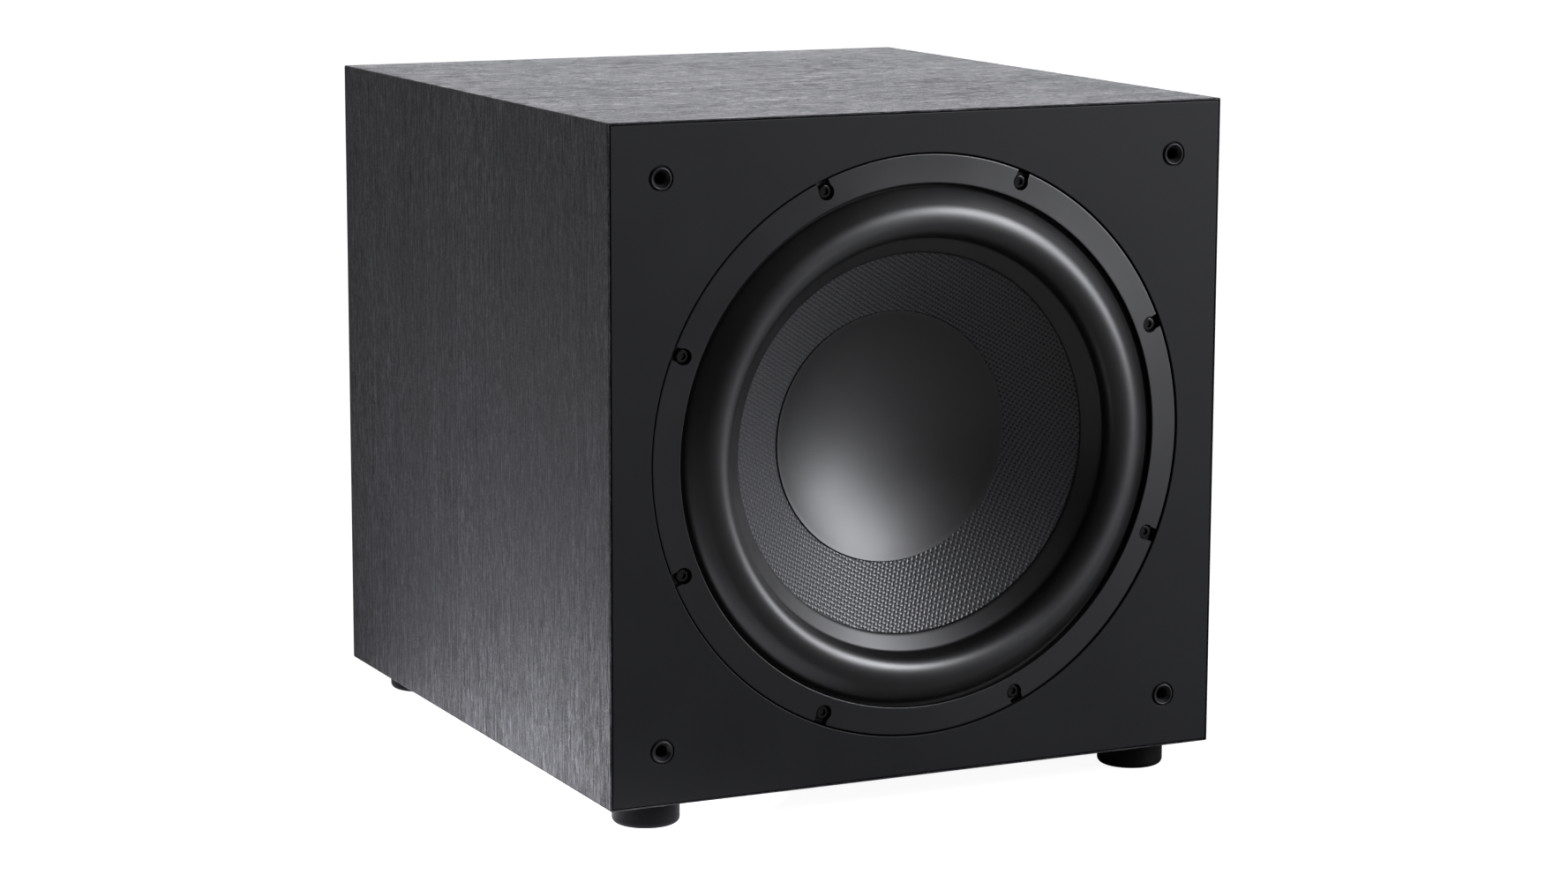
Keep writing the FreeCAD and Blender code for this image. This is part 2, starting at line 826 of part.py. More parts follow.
def inlet_outline(half_w, half_h, cut, y):
    """The inlet's six-sided opening: two corners are cut off at the top."""
    return [
        V(inlet_x - half_w, y, mains_z - half_h),
        V(inlet_x + half_w, y, mains_z - half_h),
        V(inlet_x + half_w, y, mains_z + half_h - cut),
        V(inlet_x + half_w - cut, y, mains_z + half_h),
        V(inlet_x - half_w + cut, y, mains_z + half_h),
        V(inlet_x - half_w, y, mains_z + half_h - cut),
    ]


def mains_inlet():
    """A flanged three-pole inlet with a six-sided well."""
    face = inlet_block(25.0, 13.0, plate_front, plate_front + 2.5)
    face = face.makeFillet(4.0, [e for e in face.Edges if e.BoundBox.YLength > 2])
    rim = [e for e in face.Edges if e.BoundBox.YMin > plate_front + 2.4]
    face = face.makeChamfer(0.5, rim)
    body = inlet_block(14.2, 10.7, plate_inner - 22, plate_front)
    floor = plate_front - 14
    well = polygon_face(inlet_outline(12.4, 8.3, 4.5, floor)).extrude(V(0, 20, 0))
    holes = [rod(1.7, 390, 410, inlet_x + s * 20, mains_z) for s in (-1, 1)]
    pins = [pin_block(x, z, 0.05, floor - 5) for x, z in pin_places()]
    return on_axis(face.fuse(body).removeSplitter().cut([well] + holes + pins))


def pin_places():
    return [(-7, -2), (0, 2), (7, -2)]


def pin_block(dx, dz, spare, start):
    x = inlet_x + dx
    z = mains_z + dz
    tip = plate_front - 3.2
    return block(x - 1 - spare, x + 1 + spare, start, tip, z - 2 - spare, z + 2 + spare)


def inlet_pin(dx, dz):
    return on_axis(pin_block(dx, dz, 0, plate_front - 19))


def inlet_screw(side):
    x = inlet_x + side * 20
    y0 = plate_front + 2.5
    head = rod(2.7, y0, y0 + 1.6, x, mains_z)
    head = head.makeFillet(0.8, [e for e in head.Edges if e.BoundBox.YMin > y0 + 1.5])
    blades = block(x - 1.7, x + 1.7, y0 + 0.8, y0 + 2, mains_z - 0.35, mains_z + 0.35)
    shank = rod(1.4, plate_inner - 5, y0, x, mains_z)
    return on_axis(head.cut(blades).fuse(shank))


def jack_shell(z):
    return on_axis(tube(3.3, 4.15, plate_front + 1.2, plate_front + 9.8, jack_x, z))


def jack_insulator(z):
    """Coloured collar, centre plug with its contact hole, and the stub behind the plate."""
    collar = rod(6.0, plate_front, plate_front + 1.2, jack_x, z)
    core = rod(3.25, plate_front + 1.2, plate_front + 9.4, jack_x, z)
    stub = rod(3.6, plate_inner - 8, plate_front, jack_x, z)
    body = collar.fuse([core, stub]).removeSplitter()
    return on_axis(body.cut(rod(1.65, plate_inner - 2, plate_front + 12, jack_x, z)))


def power_led():
    body = rod(1.55, plate_inner - 4, plate_front + 0.9, control_x, led_z)
    edge = [e for e in body.Edges if e.BoundBox.YMin > plate_front + 0.8]
    return on_axis(body.makeFillet(0.8, edge))


def write_cabinet():
    save("bottom_panel", bottom_panel())
    save("top_panel", carcass_panel(half_width, half_height, 180))
    save("left_panel", carcass_panel(half_height, half_width, 90))
    save("right_panel", carcass_panel(half_height, half_width, -90))
    save("front_baffle", front_baffle())
    save("rear_panel", rear_panel())
    save("window_brace", window_brace())
    save("wadding", wadding(-1), wadding(1))
    save("grille_sockets", *[grille_socket(x, z) for x, z in socket_places()])
    for name, (x, y) in foot_places().items():
        save("foot_" + name, foot(x, y))
    save("foot_screws", *[foot_screw(x, y) for x, y in foot_places().values()])


def write_driver():
    save("trim_ring", trim_ring())
    save("surround", surround())
    save("cone", cone())
    save("dust_cap", dust_cap())
    save("coil_former", coil_former())
    save("voice_coil", voice_coil())
    save("spider", spider())
    save("basket", basket())
    save("flange_gasket", flange_gasket())
    save("driver_screws", *[driver_screw(angle) for angle in screw_angles()])
    save("top_plate", top_plate())
    save("ring_magnets", ring_magnet(0), ring_magnet(1))
    save("pole_yoke", pole_yoke())
    save("magnet_boot", magnet_boot())
    save("terminal_strip", terminal_strip())
    save("terminal_lugs", terminal_lug(-terminal_x), terminal_lug(terminal_x))
    save("tinsel_leads", tinsel_lead(-terminal_x), tinsel_lead(terminal_x))
    save("speaker_lead_red", speaker_lead(terminal_x))
    save("speaker_lead_black", speaker_lead(-terminal_x))
    save("lead_grommets", lead_grommet(-terminal_x), lead_grommet(terminal_x))


def write_amplifier():
    save("amp_plate", amp_plate())
    save("amp_gasket", amp_gasket())
    save("amp_screws", *[amp_screw(x, z) for x, z in amp_screw_places()])
    save("amp_back_box", amp_back_box())
    save("circuit_board", circuit_board())
    save("transformer", transformer())
    save("capacitors", capacitor(-16), capacitor(12))
    save("heatsink", heatsink())
    save("volume_knob", knob(volume_z))
    save("volume_shaft", knob_shaft(volume_z))
    save("crossover_knob", knob(crossover_z))
    save("crossover_shaft", knob_shaft(crossover_z))
    save("pot_bodies", pot_body(volume_z), pot_body(crossover_z))
    save("phase_slider", slider(phase_z - phase_travel / 2))
    save("phase_switch_body", slider_body(phase_z, phase_travel))
    save("mode_slider", slider(mode_z))
    save("mode_switch_body", slider_body(mode_z, mode_travel))
    save("rocker_bezel", rocker_bezel())
    save("power_rocker", power_rocker())
    save("mains_inlet", mains_inlet())
    save("inlet_pins", *[inlet_pin(x, z) for x, z in pin_places()])
    save("inlet_screws", inlet_screw(-1), inlet_screw(1))
    save("jack_shells", *[jack_shell(z) for z in jack_heights])
    save("jack_white", jack_insulator(jack_heights[0]))
    save("jack_red", jack_insulator(jack_heights[1]))
    save("power_led", power_led())


os.makedirs("parts", exist_ok=True)
write_cabinet()
write_driver()
write_amplifier()
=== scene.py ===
import bmesh
import bpy
import json
import math
from mathutils import Matrix, Vector
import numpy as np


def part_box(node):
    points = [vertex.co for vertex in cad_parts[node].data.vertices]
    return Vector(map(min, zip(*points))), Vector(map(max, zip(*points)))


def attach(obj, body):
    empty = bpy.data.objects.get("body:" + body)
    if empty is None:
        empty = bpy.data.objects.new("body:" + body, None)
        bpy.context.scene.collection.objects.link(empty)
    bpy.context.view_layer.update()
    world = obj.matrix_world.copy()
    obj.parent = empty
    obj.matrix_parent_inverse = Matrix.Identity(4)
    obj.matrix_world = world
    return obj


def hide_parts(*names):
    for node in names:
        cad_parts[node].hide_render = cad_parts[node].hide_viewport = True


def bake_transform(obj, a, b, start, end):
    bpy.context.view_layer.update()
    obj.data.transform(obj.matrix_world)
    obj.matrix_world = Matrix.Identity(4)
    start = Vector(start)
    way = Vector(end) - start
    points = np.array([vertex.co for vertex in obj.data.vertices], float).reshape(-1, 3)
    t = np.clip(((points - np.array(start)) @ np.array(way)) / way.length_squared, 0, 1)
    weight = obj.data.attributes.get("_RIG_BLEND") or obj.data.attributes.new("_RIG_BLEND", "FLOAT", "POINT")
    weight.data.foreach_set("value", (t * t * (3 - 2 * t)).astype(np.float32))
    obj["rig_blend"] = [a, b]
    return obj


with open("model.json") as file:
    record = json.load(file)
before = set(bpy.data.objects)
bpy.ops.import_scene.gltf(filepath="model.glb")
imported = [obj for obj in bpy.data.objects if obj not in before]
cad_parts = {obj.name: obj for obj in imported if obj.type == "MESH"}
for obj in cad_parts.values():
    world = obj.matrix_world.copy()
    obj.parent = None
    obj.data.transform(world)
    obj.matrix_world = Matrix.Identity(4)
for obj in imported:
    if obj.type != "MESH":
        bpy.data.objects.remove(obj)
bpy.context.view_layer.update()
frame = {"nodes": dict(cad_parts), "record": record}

# ---- places and sizes, in metres, from the frame ----

MM = 0.001
ring_low, ring_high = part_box("trim_ring")
baffle_low, baffle_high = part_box("front_baffle")
floor_low, floor_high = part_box("bottom_panel")
AXIS_X = (ring_low.x + ring_high.x) / 2
AXIS_Z = (ring_low.z + ring_high.z) / 2
FRONT_Y = baffle_low.y
REAR_Y = floor_high.y
HALF_WIDTH = (floor_high.x - floor_low.x) / 2
HALF_HEIGHT = (baffle_high.z - baffle_low.z) / 2
PANEL = floor_high.z - floor_low.z


# ---- shader helpers ----


def new_material(name, colour, roughness, **sockets):
    """A Principled material with constant values on the shader's own sockets."""
    mat = bpy.data.materials.new(name)
    mat.use_nodes = True
    shader = mat.node_tree.nodes["Principled BSDF"]
    shader.inputs["Base Color"].default_value = (*colour, 1)
    shader.inputs["Roughness"].default_value = roughness
    for socket, value in sockets.items():
        shader.inputs[socket.replace("_", " ")].default_value = value
    return mat


class Graph:
    """Short calls for adding and joining shader nodes."""

    def __init__(self, mat):
        """Find the material's shader, and the object's own coordinates."""
        self.tree = mat.node_tree
        self.shader = self.tree.nodes["Principled BSDF"]
        self.coords = self.tree.nodes.new("ShaderNodeTexCoord").outputs["Object"]

    def put(self, socket, value):
        """Link a node's output to a socket, or set the socket's constant."""
        if isinstance(value, bpy.types.NodeSocket):
            self.tree.links.new(value, socket)
        else:
            socket.default_value = value

    def math(self, operation, a, b=0.0):
        """One step of arithmetic on two values."""
        node = self.tree.nodes.new("ShaderNodeMath")
        node.operation = operation
        self.put(node.inputs[0], a)
        self.put(node.inputs[1], b)
        return node.outputs[0]

    def plus(self, a, b):
        """The sum of two values."""
        return self.math("ADD", a, b)

    def times(self, a, b):
        """The product of two values."""
        return self.math("MULTIPLY", a, b)

    def mapped(self, scale=(1, 1, 1), rotation=(0, 0, 0), vector=None, location=(0, 0, 0)):
        """A position scaled, turned and moved; the object's own position if none is given."""
        node = self.tree.nodes.new("ShaderNodeMapping")
        self.put(node.inputs["Vector"], vector or self.coords)
        node.inputs["Scale"].default_value = scale
        node.inputs["Rotation"].default_value = rotation
        node.inputs["Location"].default_value = location
        return node.outputs["Vector"]

    def noise(self, scale, detail=3.0, rough=0.5, vector=None, distortion=0.0):
        """Soft random variation, finer with a larger scale."""
        node = self.tree.nodes.new("ShaderNodeTexNoise")
        self.put(node.inputs["Vector"], vector or self.coords)
        node.inputs["Scale"].default_value = scale
        node.inputs["Detail"].default_value = detail
        node.inputs["Roughness"].default_value = rough
        node.inputs["Distortion"].default_value = distortion
        return node.outputs["Fac"]

    def cells(self, scale):
        """Distance to the nearest of many scattered points."""
        node = self.tree.nodes.new("ShaderNodeTexVoronoi")
        self.put(node.inputs["Vector"], self.coords)
        node.inputs["Scale"].default_value = scale
        return node.outputs["Distance"]

    def remap(self, value, low, high, to_low=0.0, to_high=1.0):
        """Stretch a range to another range, and hold its ends."""
        node = self.tree.nodes.new("ShaderNodeMapRange")
        self.put(node.inputs["Value"], value)
        node.inputs["From Min"].default_value = low
        node.inputs["From Max"].default_value = high
        node.inputs["To Min"].default_value = to_low
        node.inputs["To Max"].default_value = to_high
        return node.outputs["Result"]

    def blend_colours(self, factor, dark, light):
        """A colour that goes from the first to the second as the factor goes from 0 to 1."""
        node = self.tree.nodes.new("ShaderNodeMix")
        node.data_type = "RGBA"
        self.put(node.inputs["Factor"], factor)
        self.put(node.inputs[6], dark if isinstance(dark, bpy.types.NodeSocket) else (*dark, 1))
        self.put(node.inputs[7], light if isinstance(light, bpy.types.NodeSocket) else (*light, 1))
        return node.outputs[2]

    def distance(self, vector, axes):
        """The length of a vector in the plane of two axes."""
        parts = self.split(vector)
        squares = [self.math("POWER", parts[axis], 2.0) for axis in axes]
        return self.math("SQRT", self.plus(*squares))

    def split(self, vector=None):
        """A vector's X, Y and Z; the object's own position if none is given."""
        node = self.tree.nodes.new("ShaderNodeSeparateXYZ")
        self.put(node.inputs[0], vector or self.coords)
        return node.outputs

    def colour(self, value):
        """Set the material's colour."""
        self.put(self.shader.inputs["Base Color"], value)

    def roughness(self, value):
        """Set how dull the material is."""
        self.put(self.shader.inputs["Roughness"], value)

    def bump(self, height, distance, strength=1.0):
        """Tilt the surface as a height would; the distance is the height's full reach, in metres."""
        node = self.tree.nodes.new("ShaderNodeBump")
        self.put(node.inputs["Height"], height)
        node.inputs["Distance"].default_value = distance
        node.inputs["Strength"].default_value = strength
        self.tree.links.new(node.outputs["Normal"], self.shader.inputs["Normal"])


# ---- materials ----


PORE_BLACK = (0.0015, 0.0015, 0.0017)


def vinyl(name, grain_axis):
    """Black-ash woodgrain vinyl: fibres, pores and pale flecks along one axis, in a slow mottle."""
    mat = new_material(name, (0.03, 0.03, 0.031), 0.42, Specular_IOR_Level=0.7)
    g = Graph(mat)
    stretched = {}
    for label, factor in (("long", 0.012), ("dash", 0.045), ("short", 0.3), ("round", 0.6)):
        scale = [1, 1, 1]
        scale["XYZ".index(grain_axis)] = factor
        stretched[label] = g.mapped(scale)
    fine = g.noise(2300.0, 2.0, 0.6, stretched["dash"])
    bands = g.noise(700.0, 3.0, 0.7, stretched["long"])
    specks = g.noise(2400.0, 2.0, 0.6, stretched["short"])
    patches = g.remap(g.noise(13.0, 2.0, 0.5, stretched["short"]), 0.42, 0.62)
    streaks = g.remap(g.noise(650.0, 2.0, 0.6, stretched["dash"]), 0.53, 0.64)
    streaks = g.times(streaks, g.remap(patches, 0.0, 1.0, 0.25, 1.0))
    pores = g.remap(g.noise(1900.0, 2.0, 0.6, stretched["dash"]), 0.53, 0.60)
    flecks = g.remap(g.noise(2300.0, 1.0, 0.5, stretched["short"]), 0.61, 0.70)
    tone = g.plus(g.times(fine, 0.4), g.times(bands, 0.3))
    tone = g.remap(g.plus(tone, g.times(specks, 0.3)), 0.45, 0.56)
    base = g.blend_colours(tone, (0.006, 0.006, 0.007), (0.105, 0.106, 0.12))
    mottle = g.remap(g.noise(330.0, 2.0, 0.65, stretched["round"]), 0.4, 0.6)
    figure = g.remap(g.noise(50.0, 3.0, 0.6, stretched["long"]), 0.38, 0.62)
    stain = g.times(g.remap(mottle, 0.0, 1.0, 0.15, 1.0), g.remap(figure, 0.0, 1.0, 0.45, 1.0))
    base = g.blend_colours(stain, PORE_BLACK, base)
    base = g.blend_colours(g.times(pores, 0.9), base, PORE_BLACK)
    base = g.blend_colours(g.times(streaks, 0.75), base, PORE_BLACK)
    base = g.blend_colours(g.times(flecks, 0.5), base, (0.26, 0.26, 0.29))
    g.colour(base)
    open_grain = g.math("MAXIMUM", g.times(streaks, 0.9), g.times(pores, 0.6))
    open_grain = g.plus(open_grain, g.remap(stain, 0.0, 1.0, 0.14, 0.0))
    g.roughness(g.plus(g.remap(tone, 0.0, 1.0, 0.54, 0.34), g.times(open_grain, 0.44)))
    g.bump(g.math("SUBTRACT", g.times(tone, 0.6), open_grain), 0.00045, 1.0)
    return mat


def satin_paint(name, colour, roughness, grain=1400.0, depth=0.00002, specular=0.5):
    """Sprayed or moulded satin black: very fine texture and slight cloudiness."""
    mat = new_material(name, colour, roughness, Specular_IOR_Level=specular)
    g = Graph(mat)
    cloud = g.noise(14.0, 3.0, 0.55)
    fine = g.noise(grain, 2.0, 0.6)
    tone = g.plus(g.times(cloud, 0.6), g.times(fine, 0.4))
    dark = tuple(c * 0.86 for c in colour)
    light = tuple(c * 1.16 for c in colour)
    g.colour(g.blend_colours(g.remap(tone, 0.35, 0.65), dark, light))
    g.roughness(g.remap(cloud, 0.3, 0.7, roughness - 0.035, roughness + 0.035))
    g.bump(fine, depth, 0.6)
    return mat


def rubber(name, colour, roughness, grain=700.0, specular=0.5):
    """Moulded rubber: soft, slightly dusty, with a faint even texture."""
    mat = new_material(name, colour, roughness, Specular_IOR_Level=specular)
    g = Graph(mat)
    dust = g.noise(60.0, 4.0, 0.6)
    fine = g.noise(grain, 3.0, 0.55)
    light = tuple(c * 1.5 + 0.001 for c in colour)
    g.colour(g.blend_colours(g.remap(dust, 0.4, 0.8), colour, light))
    g.roughness(g.remap(fine, 0.3, 0.7, roughness - 0.03, roughness + 0.05))
    g.bump(fine, 0.00003, 0.5)
    return mat


def surround_finish(name):
    """Smooth butyl rubber with a satin sheen, rougher in the groove by the ring and darkened there with
    painted shade.
    """
    mat = new_material(name, (0.0035, 0.0036, 0.0038), 0.38, Specular_IOR_Level=1.0)
    g = Graph(mat)
    radius = g.distance(g.mapped(location=(-AXIS_X, 0, -AXIS_Z)), "XZ")
    # Past r 140.3 mm, in the groove by the ring, the colour falls to near black: painted shade. The groove is
    # also made rougher.
    shaded_groove = g.remap(radius, 140.3 * MM, 141.2 * MM)
    dust = g.remap(g.noise(55.0, 4.0, 0.6), 0.4, 0.8)
    base = g.blend_colours(dust, (0.0028, 0.0029, 0.003), (0.0046, 0.0047, 0.005))
    g.colour(g.blend_colours(shaded_groove, base, (0.0006, 0.0006, 0.0006)))
    cloud = g.remap(g.noise(25.0, 3.0, 0.5), 0.3, 0.7, 0.35, 0.41)
    g.roughness(g.plus(cloud, g.times(shaded_groove, 0.6)))
    g.bump(g.noise(900.0, 2.0, 0.5), 0.000003, 0.4)
    return mat


THREAD = 2.15 * MM
WEAVE_TURN = math.radians(-28)


def woven(name):
    """Plain-woven glass cloth: two thread sets that pass over and under, with painted shade darkening the
    thread sides and the holes.
    """
    mat = new_material(name, (0.03, 0.03, 0.032), 0.42, Specular_IOR_Level=0.9)
    g = Graph(mat)
    centred = g.mapped(location=(-AXIS_X, 0, -AXIS_Z))
    turned = g.mapped(rotation=(0, WEAVE_TURN, 0), vector=centred)
    drift = g.noise(45.0, 2.0, 0.5)
    parts = g.split(g.mapped((math.pi / THREAD, 1, math.pi / THREAD), vector=turned))
    across = g.math("SINE", g.plus(parts["X"], g.times(drift, 0.9)))
    down = g.math("SINE", g.plus(parts["Z"], g.times(drift, -0.7)))
    warp_round = g.math("POWER", g.math("ABSOLUTE", across), 0.5)
    weft_round = g.math("POWER", g.math("ABSOLUTE", down), 0.5)
    warp_lift = g.times(down, g.math("SIGN", across))
    weft_lift = g.times(g.times(across, g.math("SIGN", down)), -1.0)
    warp = g.plus(warp_round, g.times(warp_lift, 0.22))
    weft = g.plus(weft_round, g.times(weft_lift, 0.22))
    height = g.math("MAXIMUM", warp, weft)
    # The colour falls to near black where the weave is low: painted shade down the thread sides and in the
    # holes between the threads.
    gap_shade_mask = g.remap(height, 0.66, 1.0)
    fuzz = g.noise(3200.0, 2.0, 0.6)
    tone = g.times(gap_shade_mask, g.remap(fuzz, 0.3, 0.7, 0.7, 1.15))
    g.colour(g.blend_colours(tone, (0.0003, 0.0003, 0.0003), (0.048, 0.0485, 0.052)))
    g.roughness(g.remap(gap_shade_mask, 0, 1, 0.88, 0.34))
    g.bump(height, 0.00042, 1.0)
    return mat


def metal(name, colour, roughness, streak_axis=None):
    """Bare or plated metal with fine machining or rolling marks."""
    mat = new_material(name, colour, roughness, Metallic=1.0)
    g = Graph(mat)
    scale = {"X": (0.03, 1, 1), "Y": (1, 0.03, 1), "Z": (1, 1, 0.03), None: (1, 1, 1)}[streak_axis]
    marks = g.noise(1200.0, 3.0, 0.6, g.mapped(scale))
    cloud = g.noise(30.0, 3.0, 0.5)
    dark = tuple(c * 0.8 for c in colour)
    g.colour(g.blend_colours(g.remap(cloud, 0.3, 0.7), dark, colour))
    g.roughness(g.remap(marks, 0.3, 0.7, roughness - 0.08, roughness + 0.1))
    g.bump(marks, 0.00001, 0.4)
    return mat


def plastic(name, colour, roughness, grain=900.0, depth=0.00003):
    """Moulded plastic with a light spark-eroded texture."""
    mat = new_material(name, colour, roughness)
    g = Graph(mat)
    spark = g.cells(grain)
    cloud = g.noise(40.0, 2.0, 0.5)
    light = tuple(min(1.0, c * 1.25) for c in colour)
    g.colour(g.blend_colours(g.remap(cloud, 0.3, 0.7), colour, light))
    g.roughness(g.remap(spark, 0.0, 0.7, roughness - 0.05, roughness + 0.08))
    g.bump(spark, depth, 0.5)
    return mat


def fibres(name, dark, light, scale=500.0):
    """Fleece, felt, board or paper: tangled fibres."""
    mat = new_material(name, light, 0.9)
    g = Graph(mat)
    tangle = g.noise(scale, 5.0, 0.7, distortion=1.5)
    g.colour(g.blend_colours(g.remap(tangle, 0.3, 0.7), dark, light))
    g.roughness(g.remap(tangle, 0.3, 0.7, 0.8, 0.98))
    g.bump(tangle, 0.0004, 0.6)
    return mat


SLOT_MATERIALS = {
    "carcass_vinyl": lambda: vinyl("side_vinyl", "Z"),
    "baffle_paint": lambda: satin_paint("baffle_paint", (0.0040, 0.0044, 0.0052), 0.5, specular=0.33),
    "raw_board": lambda: fibres("raw_board", (0.26, 0.17, 0.1), (0.42, 0.3, 0.19), 900.0),
    "rear_paint": lambda: satin_paint("rear_paint", (0.012, 0.012, 0.0125), 0.62, 900.0, 0.00006),
    "polyester_wadding": lambda: fibres("wadding", (0.62, 0.62, 0.6), (0.86, 0.86, 0.84), 260.0),
    "socket_plastic": lambda: plastic("socket_plastic", (0.012, 0.012, 0.013), 0.36),
    "foot_rubber": lambda: rubber("foot_rubber", (0.002, 0.002, 0.0022), 0.5, specular=0.12),
    "black_screws": lambda: satin_paint("black_screw", (0.002, 0.002, 0.0022), 0.24, 900.0, specular=0.4),
    "zinc_screws": lambda: metal("zinc_screw", (0.6, 0.6, 0.58), 0.35),
    "ring_plastic": lambda: satin_paint("ring_plastic", (0.0036, 0.0038, 0.0044), 0.33, 1100.0, specular=0.8),
    "surround_rubber": lambda: surround_finish("surround_rubber"),
    "woven_cone": lambda: woven("woven_cone"),
    "cap_plastic": lambda: satin_paint(
        "cap_plastic", (0.0025, 0.0025, 0.0026), 0.44, 1500.0, 0.00003, specular=1.0
    ),
    "former_film": lambda: metal("former_film", (0.7, 0.7, 0.72), 0.35, "Y"),
    "coil_wire": lambda: metal("coil_wire", (0.72, 0.32, 0.15), 0.3, "X"),
    "spider_cloth": lambda: fibres("spider_cloth", (0.5, 0.36, 0.12), (0.72, 0.56, 0.24), 1200.0),
    "cast_frame": lambda: satin_paint("cast_frame", (0.014, 0.014, 0.015), 0.5, 700.0, 0.0001),
    "gasket_foam": lambda: fibres("gasket_foam", (0.012, 0.012, 0.012), (0.03, 0.03, 0.03), 2000.0),
    "plated_steel": lambda: metal("plated_steel", (0.55, 0.55, 0.5), 0.35),
    "ferrite": lambda: satin_paint("ferrite", (0.05, 0.05, 0.053), 0.6, 1500.0, 0.00008),
    "boot_rubber": lambda: rubber("boot_rubber", (0.012, 0.012, 0.0125), 0.6),
    "terminal_board": lambda: fibres("terminal_board", (0.16, 0.08, 0.03), (0.26, 0.14, 0.06), 1500.0),
    "terminal_tin": lambda: metal("terminal_tin", (0.78, 0.77, 0.72), 0.3),
    "tinsel_braid": lambda: metal("tinsel_braid", (0.66, 0.42, 0.26), 0.4),
    "lead_red": lambda: rubber("lead_red", (0.42, 0.012, 0.012), 0.4),
    "lead_black": lambda: rubber("lead_black", (0.012, 0.012, 0.012), 0.4),
    "amp_paint": lambda: satin_paint("amp_paint", (0.013, 0.013, 0.0135), 0.5, 1100.0, 0.00008),
    "box_steel": lambda: metal("box_steel", (0.62, 0.63, 0.64), 0.4, "Z"),
    "board_green": lambda: plastic("board_green", (0.012, 0.12, 0.045), 0.35),
    "transformer_tape": lambda: plastic("transformer_tape", (0.7, 0.52, 0.06), 0.3),
    "capacitor_sleeve": lambda: plastic("capacitor_sleeve", (0.02, 0.03, 0.09), 0.3),
    "heatsink_metal": lambda: metal("heatsink_metal", (0.66, 0.66, 0.68), 0.4, "Z"),
    "inlet_plastic": lambda: plastic("inlet_plastic", (0.012, 0.012, 0.0125), 0.33),
    "contact_metal": lambda: metal("contact_metal", (0.78, 0.78, 0.76), 0.18),
    "rocker_plastic": lambda: plastic("rocker_plastic", (0.014, 0.014, 0.0145), 0.28),
    "knob_plastic": lambda: plastic("knob_plastic", (0.015, 0.015, 0.0155), 0.45),
    "shaft_metal": lambda: metal("shaft_metal", (0.7, 0.7, 0.7), 0.3, "Y"),
    "pot_plastic": lambda: plastic("pot_plastic", (0.02, 0.02, 0.02), 0.5),
    "slider_plastic": lambda: plastic("slider_plastic", (0.02, 0.02, 0.02), 0.45),
    "jack_white_plastic": lambda: plastic("jack_white_plastic", (0.8, 0.8, 0.78), 0.35),
    "jack_red_plastic": lambda: plastic("jack_red_plastic", (0.5, 0.012, 0.012), 0.35),
    "led_lens": lambda: plastic("led_lens", (0.08, 0.28, 0.7), 0.15),
}


def dress_cad_nodes():
    """Give every CAD node the material of its slot."""
    materials = {slot: make() for slot, make in SLOT_MATERIALS.items()}
    materials["top_vinyl"] = vinyl("top_vinyl", "X")
    for part in frame["record"]["subparts"]:
        node = frame["nodes"][part["node"]]
        node.data.materials.clear()
        node.data.materials.append(materials[part["material_slot"]])
    return materials


# ---- mesh helpers ----

ROUND_STEPS = 320


def finish_mesh(bm, name, crease=32.0):
    """Close a bmesh into a mesh that is smooth except at edges sharper than the crease angle."""
    bmesh.ops.recalc_face_normals(bm, faces=bm.faces)
    for face in bm.faces:
        face.smooth = max(abs(c) for c in face.normal) < 0.99999
    for edge in bm.edges:
        if len(edge.link_faces) == 2 and edge.calc_face_angle() > math.radians(crease):
            edge.smooth = False
    mesh = bpy.data.meshes.new(name)
    bm.to_mesh(mesh)
    bm.free()
    return mesh


def add_piece(name, mesh, slot, body, nodes=(), material=None):
    """Place a mesh as a piece that rides on a body and stands for CAD nodes."""
    piece = bpy.data.objects.new(name, mesh)
    bpy.context.scene.collection.objects.link(piece)
    mesh.materials.clear()
    mesh.materials.append(material or materials[slot])
    if nodes:
        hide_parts(*nodes)
    if body:
        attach(piece, body)
    return piece


def on_axis(radius, angle, depth, centre=(0.0, 0.0)):
    """A point at a radius and angle about the driver's axis, or about a centre off it."""
    x = AXIS_X + centre[0] + radius * math.cos(angle)
    z = AXIS_Z + centre[1] + radius * math.sin(angle)
    return x, FRONT_Y + depth, z


def ring_of(bm, radius, depth, steps, centre=(0.0, 0.0)):
    """A ring of vertices about the driver's axis, or one vertex where the radius is nothing."""
    if radius < 1e-7:
        return [bm.verts.new(on_axis(0, 0, depth, centre))]
    return [bm.verts.new(on_axis(radius, 2 * math.pi * i / steps, depth, centre)) for i in range(steps)]


def bridge(bm, low, high):
    """Join two rings, either of which may be a single point."""
    count = max(len(low), len(high))
    if count == 1:
        return
    for i in range(count):
        j = (i + 1) % count
        corners = [low[i % len(low)], low[j % len(low)], high[j % len(high)], high[i % len(high)]]
        bm.faces.new(list(dict.fromkeys(corners)))


def lathe(profile, steps=ROUND_STEPS, closed=True, bm=None, centre=(0.0, 0.0)):
    """Turn (radius, depth) points, in millimetres, about the driver's axis."""
    bm = bm or bmesh.new()
    rings = [ring_of(bm, r * MM, y * MM, steps, centre) for r, y in profile]
    for low, high in zip(rings, rings[1:]):
        bridge(bm, low, high)
    if closed:
        bridge(bm, rings[-1], rings[0])
    return bm


def arc(centre, radius, start, end, count):
    """Points on an arc in the (radius, depth) plane: 0 degrees outwards, 90 towards the back."""
    points = []
    for i in range(count + 1):
        a = math.radians(start + (end - start) * i / count)
        points.append((centre[0] + radius * math.cos(a), centre[1] + radius * math.sin(a)))
    return points


